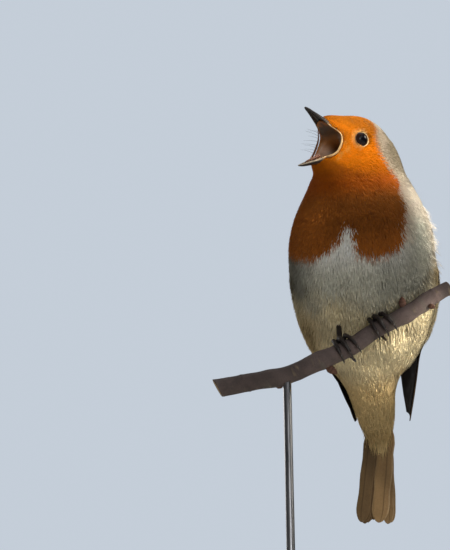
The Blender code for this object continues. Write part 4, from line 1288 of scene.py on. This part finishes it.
def rimPath(side):
    # where the mouth's funnel leaves the plumage: each ring angle, run forward until the field is crossed,
    # carried on at both ends along the cutting edges of the bill
    degrees = np.linspace(gape["from"], -gape["from"], gape["points"])
    angle = np.radians(degrees if side > 0 else 180 - degrees)
    spots = mouthOval(np.linspace(7.0, 14.0, 141)[:, None], angle)
    last = np.argmax(bodyGap(fromHead(spots)) > 0.05, axis=0)
    path = spots[last, np.arange(len(degrees))]
    run = np.linspace(2.4, 0.4, 8)
    ends = []
    for word in ("upper", "lower"):
        half = smoothTable(run / bill[word]["length"], bill[word]["table"], 1)
        ends.append(billPoint(word, run, side * (half - 0.05), 0 * run + 0.05))
    path = np.concatenate([ends[0], path, ends[1][::-1]])
    step = np.concatenate([[0], np.cumsum(np.linalg.norm(np.diff(path, axis=0), axis=1))])
    even = np.linspace(0, step[-1], gape["points"])
    path = np.stack([np.interp(even, step, path[:, k]) for k in range(3)], axis=1)
    for _ in range(14):
        path[1:-1] = (path[:-2] + 2 * path[1:-1] + path[2:]) / 4
    return path


def bristle(root, side):
    # a fine hair that starts forward and aside and droops with the square of its length
    way = unit(np.array((0.75, side * random.uniform(0.5, 1.1), random.uniform(-0.15, 0.5))))
    t = np.linspace(0, 1, 9)[:, None]
    droop = np.array((0.35, 0, -0.55)) * random.uniform(0.5, 1.2)
    line = root + way * t * random.uniform(3.0, 5.0) + droop * t**2 * 2.0
    return closedTube(sweep(line, 0.05 - 0.035 * t[:, 0], 5, np.array((0.2, 0.1, 1.0))))


def makeGape():
    # the fold is pale outside and brown towards the mouth, its outside on the bird's right darker as painted
    # shade; fine dark bristles stand round it
    folds, paints, bristles = [], [], []
    for side, outer in zip((1, -1), gape["outer"]):
        path = rimPath(side)
        share = np.linspace(0, 1, len(path))
        radii = gape["size"] * (0.45 + 0.55 * fade(share, 0.15, 0.5) - 0.25 * fade(share, 0.7, 1.0))
        rings = sweep(path, radii, gape["sides"], np.array((1.0, 0, 0)))
        outward = (rings - path[:, None])[..., 1] * side / radii[:, None]
        paint = between(gape["inner"], outer, fade(outward, -0.5, 0.2)[..., None])
        folds.append(closedTube(rings))
        paints.append(np.concatenate([paint.reshape(-1, 3), paint[0, :1], paint[-1, :1]]))
        for number in range(gape["bristles"]):
            place = int((0.16 + 0.5 * number / gape["bristles"]) * len(path))
            bristles.append(bristle(path[place] + np.array((-0.5, 0.35 * side, 0.2)), side))
    addPiece("gape_fold", joined(*folds), fleshMaterial, place=headToRoom,
             colours=np.concatenate(paints))
    shape = joined(*bristles)
    addPiece("gape_bristles", shape, clawMaterial, place=headToRoom,
             colours=np.tile(gape["bristle"], (len(shape[0]), 1)))


makeGape()


# eyes: glossy balls with dark brown irises, thin lids round them

glossMaterial = paintedMaterial(
    "eye_gloss", 0.08, 1500.0, 0.3, None, False,
    Coat_Weight=0.2, Coat_Roughness=0.04, Specular_IOR_Level=0.1)
lidMaterial = paintedMaterial("eyelid", 0.55, 1200.0, 0.3, (0.4, 0.0001))


def makeEye(side, word):
    # an eyeball, and for its lid a ring where the eye leaves the plumage, thicker above
    centre = fromHead(eye["at"] * (1, side, 1))
    out = headAxes @ unit(np.array(eye["looks"]) * (1, side, 1))
    ahead = unit(headAxes[:, 0] - out * (headAxes[:, 0] @ out))
    over = np.cross(out, ahead)
    axes = np.stack([ahead, over, out], axis=1)
    shape = closedTube(ball(centre, [eye["radius"]] * 3, eye["rows"], eye["sides"], axes))
    far = np.linalg.norm(np.cross(unit(shape[0] - centre), out), axis=1)
    iris = fade(far, 0.46, 0.52) * fade(far, 0.80, 0.74)
    addPiece(f"eyeball_{word}", shape, glossMaterial, (f"eye_{word}",), place=fromBird,
             colours=between(eye["pupil"], eye["iris"], iris[:, None]))
    angle, cross = fullTurn(eye["sides"])[:, None], fullTurn(eye["lidSides"])[:, None]
    ring = unit(np.cos(angle) * ahead * 1.05 + np.sin(angle) * over * 0.96)
    path = centre + eye["radius"] * (ring * 0.825 + out * 0.60)
    thick = (eye["lid"] + 0.04 * np.sin(angle))[..., None]
    rolls = path[:, None] + thick * (np.cos(cross) * ring[:, None] + np.sin(cross) * out)
    # one ring more than there is, taken back to the first, closes the lid round the eye
    faces = gridFaces(eye["sides"] + 1, eye["lidSides"]) % (eye["sides"] * eye["lidSides"])
    behind = fade(np.cos(angle) * 0.8 + np.sin(angle) * 0.5 * side, 0.5, -0.5)[..., None]
    paint = np.broadcast_to(between(eye["lidFront"], eye["lidBack"], behind), rolls.shape)
    return (rolls.reshape(-1, 3), faces), paint.reshape(-1, 3)


lids, lidColours = zip(*(makeEye(side, word) for side, word in ((1, "left"), (-1, "right"))))
addPiece("eyelids", joined(*lids), lidMaterial, place=fromBird,
         colours=np.concatenate(lidColours))
print("eyes ready")


# legs and feet: angles round the twig, 0 in front and 90 on top

foot = {
    "spread": 6.4, "hubAngle": 106.0, "hub": (2.3, 1.15, 1.0), "tarsus": 0.9, "ankle": (7.2, -8.0, 4.0),
    "gap": 0.32, "toeRows": 60, "clawRows": 26, "shankRows": 70, "sides": 16, "shankSides": 20,
    "toeScutes": 13, "shankScutes": 8,
    "skin": screen(38, 28, 24), "pad": screen(86, 68, 54), "claw": (screen(60, 46, 38), screen(28, 22, 20)),
}
#  slant along the twig, first angle, last angle, radius, sweep of the claw, joints
toes = {
    "inner": (-2.7, 82.0, -18.0, 0.68, -44.0, 2), "middle": (0.1, 82.0, -34.0, 0.76, -40.0, 3),
    "outer": (2.9, 82.0, -24.0, 0.68, -44.0, 4), "back": (-0.6, 131.0, 210.0, 0.78, 40.0, 2),
}


def footPoint(spot, slant, degrees, out):
    along = spot + slant
    return perchPoint(along, degrees, perchRadius(along) + out)


def makeToe(toe, side, word):
    # scutes step along the top, pads swell underneath, knuckles between
    slant, first, last, radius, _, joints = toes[toe]
    share = np.linspace(0, 1, foot["toeRows"])
    place = (side * foot["spread"], slant * side * (0.68 + 0.32 * share), between(first, last, share))
    out = radius + foot["gap"] * 0.5 + 0.5 * (1 - share) ** 3
    path = footPoint(*place, out)
    wave = np.sin(fullTurn(foot["sides"]))[None]
    above, below = np.clip(wave, 0, 1), np.clip(-wave, 0, 1)
    scute = (share * foot["toeScutes"]) % 1
    step = 0.10 * (1 - scute) ** 0.6 * (scute > 0.04)
    pad = 0.16 * np.abs(np.sin(share * math.pi * joints)) ** 0.8
    knuckle = 1 + 0.08 * np.cos(share * math.pi * 2 * joints)
    radii = (radius * (1 - 0.2 * share) * knuckle)[:, None]
    radii = radii * (0.93 + step[:, None] * above**0.5 + pad[:, None] * below)
    shape = closedTube(sweep(path, radii, foot["sides"], footPoint(*place, out + 0.5) - path))
    tone = (foot["skin"] * (0.8 + 0.3 * (1 - scute))[:, None])[:, None]
    tint = between(tone, foot["pad"], below[..., None] * 0.5)
    addPiece(f"toe_skin_{toe}_{word}", shape, legMaterial, (f"toe_{toe}_{word}",),
             colours=tubeColours(tint))


def makeClaw(toe, side, word):
    # a curved cone, deeper than wide
    slant, _, last, radius, sweepBy, _ = toes[toe]
    spot, aside, way = side * foot["spread"], slant * side, math.copysign(1.0, sweepBy)
    share = np.linspace(0, 1, foot["clawRows"])
    degrees = last + 6.0 * way + (sweepBy + 4.0 * way) * share
    out = radius + foot["gap"] * 0.5 + 0.9 * np.sin(share * math.pi * 0.75)
    path = footPoint(spot, aside * (1.0 + 0.1 * share), degrees, out)
    up = footPoint(spot, aside, degrees, out + 0.5) - path
    size = 0.04 + 0.50 * (1 - share) ** 0.75
    radii = np.outer(size, 0.78 + 0.26 * np.abs(np.sin(fullTurn(foot["sides"]))))
    tint = np.repeat(between(*foot["claw"], share[:, None])[:, None], foot["sides"], axis=1)
    addPiece(f"claw_sheath_{toe}_{word}", closedTube(sweep(path, radii, foot["sides"], up)), clawMaterial,
             (f"claw_{toe}_{word}",), colours=tubeColours(tint))


def makeShank(side, word):
    # overlapping shields in front, up into the belly's plumage, with the ball of the foot
    spot, rows, sides = side * foot["spread"], foot["shankRows"], foot["shankSides"]
    hub = perchPoint(spot, foot["hubAngle"], perchRadius(spot) + foot["gap"] + foot["hub"][2])
    ankle = fromBird(np.array(foot["ankle"]) * (side, 1, 1))
    share = np.linspace(0, 1, rows)
    path = between(hub, ankle, share[:, None])
    scute = (share * foot["shankScutes"]) % 1
    shield = np.outer(0.12 * (1 - scute) ** 0.7, np.clip(np.sin(fullTurn(sides)), 0, 1) ** 0.5)
    radii = foot["tarsus"] * (0.9 + shield + 0.1 * fade(share, 0.75, 1.0)[:, None])
    tarsus = closedTube(sweep(path, radii, sides, np.array((0, -1.0, 0.2))))
    out, along = unit(hub - perchPoint(spot)), perchAxes[:, 0]
    axes = np.stack([along, np.cross(out, along), out], axis=1)
    shape = joined(tarsus, closedTube(ball(hub, foot["hub"], 20, 26, axes)))
    shades = np.repeat(foot["skin"] * (0.8 + 0.3 * (1 - scute))[:, None], sides, axis=0)
    plain = np.tile(foot["skin"], (len(shape[0]) - rows * sides, 1))
    addPiece(f"shank_{word}", shape, legMaterial, (f"leg_{word}",),
             colours=np.concatenate([shades, plain]))


for side, word in ((1, "left"), (-1, "right")):
    for toe in toes:
        makeToe(toe, side, word)
        makeClaw(toe, side, word)
    makeShank(side, word)
print("feet ready")


# perch: bark with ridges and lenticels, scaly buds, and sawn ends

def sawnEnd(along, degrees, radius, way):
    # four shrinking rings at a sawn end, each pushed out a little
    shrink = np.array((0.93, 0.86, 0.6, 0.3))[:, None]
    push = way * np.array((0.12, 0.10, 0.12, 0.15))
    return perchPoint(along, degrees, radius * shrink) + push[:, None, None] * perchAxes[:, 0]


def bud(spot, turned, size):
    # overlapping scales as steps down a pointed oval
    sides = perch["budSides"]
    out = unit(perchPoint(spot, turned, 1.0) - perchPoint(spot))
    lean = unit(out + perchAxes[:, 0] * 0.5)
    share = np.linspace(0, 1, perch["budRows"])
    scale = (share * perch["budScales"]) % 1
    radius = size * 0.92 * np.sin(np.clip(share, 0.03, 0.985) * math.pi) ** 0.55
    radius = radius * (1 - 0.35 * share) * (1 + 0.12 * (1 - scale))
    base = perchPoint(spot, turned, perchRadius(spot) - 0.4 * size)
    path = base + (share * size * 2.6)[:, None] * lean
    paint = np.repeat((perch["bud"] * (0.7 + 0.6 * scale)[:, None])[:, None], sides, axis=1)
    return closedTube(sweep(path, radius, sides, unit(np.cross(lean, perchAxes[:, 0])))), tubeColours(paint)


def makePerch():
    along = np.linspace(*perch["ends"], perch["rows"])
    degrees = np.degrees(fullTurn(perch["sides"]))[None]
    bare = perchPoint(along[:, None], degrees, 1.0)
    ridge = wander(bare * (0.35, 1.4, 0.8), 0.9, 3)
    coarse = wander(bare, 3.2, 4)
    pores = fade(wander(bare * (0.9, 0.5, 0.5), 0.55, 6), 0.62, 0.85)
    scars = np.exp(-(((along[:, None] - perch["scars"]) / 0.35) ** 2)).sum(1)[:, None]
    height = perchRadius(along)[:, None] + 0.07 * ridge + 0.12 * coarse + 0.10 * pores + 0.12 * scars
    low, high = (sawnEnd(along[end], degrees, height[end], way) for end, way in ((0, -1), (-1, 1)))
    shape = closedTube(np.concatenate([low[::-1], perchPoint(along[:, None], degrees, height), high]))
    tone = perch["bark"] * (1 + 0.35 * coarse[..., None] + 0.18 * ridge[..., None])
    tone = between(tone, perch["pore"], pores[..., None] * 0.7)
    lichen = fade(wander(bare, 4.5, 9) + 0.4 * wander(bare, 1.2, 10), 0.45, 0.75)
    tone = between(tone, perch["lichen"], lichen[..., None] * 0.35)
    cap = np.array((0.35, 0.75, 0.95, 0.8))[:, None, None] * perch["wood"] * np.ones((1, perch["sides"], 1))
    tint = np.concatenate([cap[::-1], tone, cap]).reshape(-1, 3)
    tint = np.concatenate([tint, [perch["heart"]], [perch["heart"]]])
    buds, budColours = zip(*(bud(*spur) for spur in perch["spurs"]))
    addPiece("perch_bark", joined(shape, *buds), barkMaterial, ("perch",),
             colours=np.clip(np.concatenate([tint, *budColours]), 0, 1))
    print("perch ready")


makePerch()


# stand: turned wooden base and a brushed steel rod

stand = {
    "radius": 50.0, "height": 8.0, "turns": 144, "rodAlong": -26.0, "rodRadius": 1.25, "rodRows": 60,
    "rodSides": 40,
    #  the turned edge: how far in from the rim, and height; a rounded shoulder and a shallow groove
    "edge": np.array([
        (46.0, 0.0), (1.2, 0.0), (0.4, 0.25), (0.0, 0.9), (0.0, 2.2), (0.4, 2.5), (0.4, 2.8), (0.0, 3.1),
        (0.0, 5.4), (0.2, 6.3), (0.7, 7.1), (1.4, 7.6), (2.4, 7.9), (3.5, 8.0), (20.0, 8.0), (46.0, 8.0),
    ]),
}


def scaled(tree, vector, scale):
    return addNode(tree, "ShaderNodeMapping", {"Vector": vector, "Scale": scale}).outputs[0]


def woodMaterial():
    material, tree, shader, place, relief = newMaterial(
        "base_wood", 0.38, (0.15, 0.0003), Coat_Weight=0.35, Coat_Roughness=0.25)
    rings = noise(tree, scaled(tree, place["Object"], (1.0, 9.0, 6.0)), 18.0, 5.0, 0.6)
    pores = noise(tree, scaled(tree, place["Object"], (20.0, 400.0, 300.0)), 3.0, 3.0)
    colour = mixed(tree, ranged(tree, rings, 0.35, 0.65), screen(54, 34, 22), screen(98, 62, 38))
    colour = mixed(tree, ranged(tree, pores, 0.55, 0.7, 0.0, 0.6), colour, screen(30, 18, 12))
    feed(tree, shader.inputs["Base Color"], colour)
    feed(tree, relief.inputs["Height"], pores)
    return material


def steelMaterial():
    material, tree, shader, place, relief = newMaterial("rod_steel", 0.3, (0.12, 0.0001), Metallic=1.0)
    lines = noise(tree, scaled(tree, place["Object"], (2600.0, 2600.0, 60.0)), 1.0, 3.0)
    colour = mixed(tree, lines, screen(150, 150, 152), screen(196, 196, 198))
    feed(tree, shader.inputs["Base Color"], colour)
    feed(tree, shader.inputs["Roughness"], ranged(tree, lines, 0.3, 0.7, 0.22, 0.42))
    feed(tree, relief.inputs["Height"], lines)
    return material


def makeStand():
    angle = fullTurn(stand["turns"])
    reach, level = stand["radius"] - stand["edge"][:, :1], stand["edge"][:, 1:]
    rings = np.stack([reach * np.cos(angle), reach * np.sin(angle), level + 0 * angle], axis=-1)
    base = addPiece("base_turned", closedTube(rings), woodMaterial(), ("stand_base",))
    base.data.set_sharp_from_angle(angle=math.radians(50))
    top, rows = perchPoint(stand["rodAlong"]), stand["rodRows"]
    path = np.linspace((top[0], top[1], 5.0), (top[0], top[1], top[2] - 0.4), rows)
    collar = np.exp(-(((path[:, 2] - stand["height"]) / 0.8) ** 2))
    rings = sweep(path, stand["rodRadius"] + 0.5 * collar, stand["rodSides"], np.array((0, 1.0, 0)))
    addPiece("rod_drawn", closedTube(rings), steelMaterial(), ("stand_rod",))
    print("stand ready")


makeStand()


# room: pale floor, soft lights, camera

camera = {"at": (0.0, -0.3857, 0.0152), "turn": (115.2498, 0.0, 6.6188), "field": 24.003}
sunAt, lowSun, ventSun = (0.39, -0.52, 0.50), (0.62, -0.36, 0.10), (0.30, -0.42, 0.02)
warm, middle = (1.0, 0.94, 0.82), (0.0, 0.0, 0.18)
#  size and power of each lamp, with a cone in degrees for the narrow ones; metres and watts
lights = {
    "lampHead": {
        "at": sunAt, "aim": (0.004, -0.0325, 0.2220), "size": 0.006, "power": 27.0, "cone": 2.9,
        "colour": warm,
    },
    "lampNape": {
        "at": sunAt, "aim": (0.0145, -0.0275, 0.2150), "size": 0.003, "power": 20.0, "cone": 1.2,
        "colour": warm,
    },
    "lampShoulder": {
        "at": sunAt, "aim": (0.0240, -0.0198, 0.2062), "size": 0.004, "power": 46.0, "cone": 1.9,
        "colour": warm,
    },
    "lampFlank": {
        "at": lowSun, "aim": (0.0170, -0.0085, 0.1705), "size": 0.005, "power": 36.0, "cone": 1.95,
        "colour": warm,
    },
    "lampVent": {
        "at": ventSun, "aim": (0.0080, 0.0045, 0.1605), "size": 0.004, "power": 15.0, "cone": 1.5,
        "colour": warm,
    },
    "lampSide": {"at": (0.58, -0.02, 0.56), "aim": middle, "size": 0.22, "power": 2.0, "colour": warm},
    "lampFill": {
        "at": (0.32, -1.10, 0.16), "aim": (0.0, 0.0, 0.17), "size": 0.28, "power": 2.9,
        "colour": (0.97, 0.98, 1.0),
    },
    "lampBack": {
        "at": (-0.45, 0.45, 0.42), "aim": middle, "size": 0.30, "power": 0.8, "colour": (1.0, 0.97, 0.93),
    },
    "lampTop": {
        "at": (0.0, 0.2, 2.4), "aim": (0.0, 0.2, 0.0), "size": 2.6, "power": 24.0,
        "colour": (1.0, 0.99, 0.97),
    },
}
room = {
    "floorRadius": 0.66, "rimPoints": 128, "floor": screen(228, 228, 224),
    "shown": (0.555, 0.615, 0.69), "light": (0.060, 0.062, 0.066),
}


def makeFloor():
    # a round pale table: points at equal turns round its rim, filled by one face
    plane = bpy.data.meshes.new("floor")
    around = fullTurn(room["rimPoints"])
    rim = room["floorRadius"] * np.stack([np.cos(around), np.sin(around), 0 * around], axis=1)
    plane.from_pydata(rim.tolist(), [], [tuple(range(len(rim)))])
    floor = bpy.data.objects.new("floor", plane)
    scene.collection.objects.link(floor)
    material, tree, shader, place, _ = newMaterial("floor_paper", 0.9)
    colour, _ = mottled(tree, room["floor"], place["Object"], 3.0, 0.02)
    feed(tree, shader.inputs["Base Color"], colour)
    plane.materials.append(material)


def makeWorld():
    # one colour behind the model for the camera, a dimmer one as light
    world = bpy.data.worlds.new("room")
    world.use_nodes = True
    tree = world.node_tree
    path = addNode(tree, "ShaderNodeLightPath")
    colour = mixed(tree, path.outputs["Is Camera Ray"], room["light"], room["shown"])
    feed(tree, tree.nodes["Background"].inputs["Color"], colour)
    scene.world = world


def makeLamp(name, light):
    lamp = bpy.data.lights.new(name, "SPOT" if "cone" in light else "AREA")
    lamp.energy, lamp.color = light["power"], light["colour"]
    if "cone" in light:
        lamp.shadow_soft_size, lamp.spot_size = light["size"], math.radians(light["cone"])
        lamp.spot_blend = 0.25
    else:
        lamp.size = light["size"]
    spot = bpy.data.objects.new(name, lamp)
    spot.location = light["at"]
    spot.rotation_euler = (Vector(light["at"]) - Vector(light["aim"])).to_track_quat("Z", "Y").to_euler()
    scene.collection.objects.link(spot)


def makeCamera():
    seen = bpy.data.cameras.new("camera")
    seen.sensor_fit = "VERTICAL"
    seen.angle_y = math.radians(camera["field"])
    seen.clip_start = 0.01
    viewer = bpy.data.objects.new("camera", seen)
    viewer.location = camera["at"]
    viewer.rotation_euler = [math.radians(value) for value in camera["turn"]]
    scene.collection.objects.link(viewer)
    scene.camera = viewer
    scene.view_settings.view_transform = "Standard"


makeFloor()
makeWorld()
for name, light in lights.items():
    makeLamp(name, light)
makeCamera()
print("room ready")
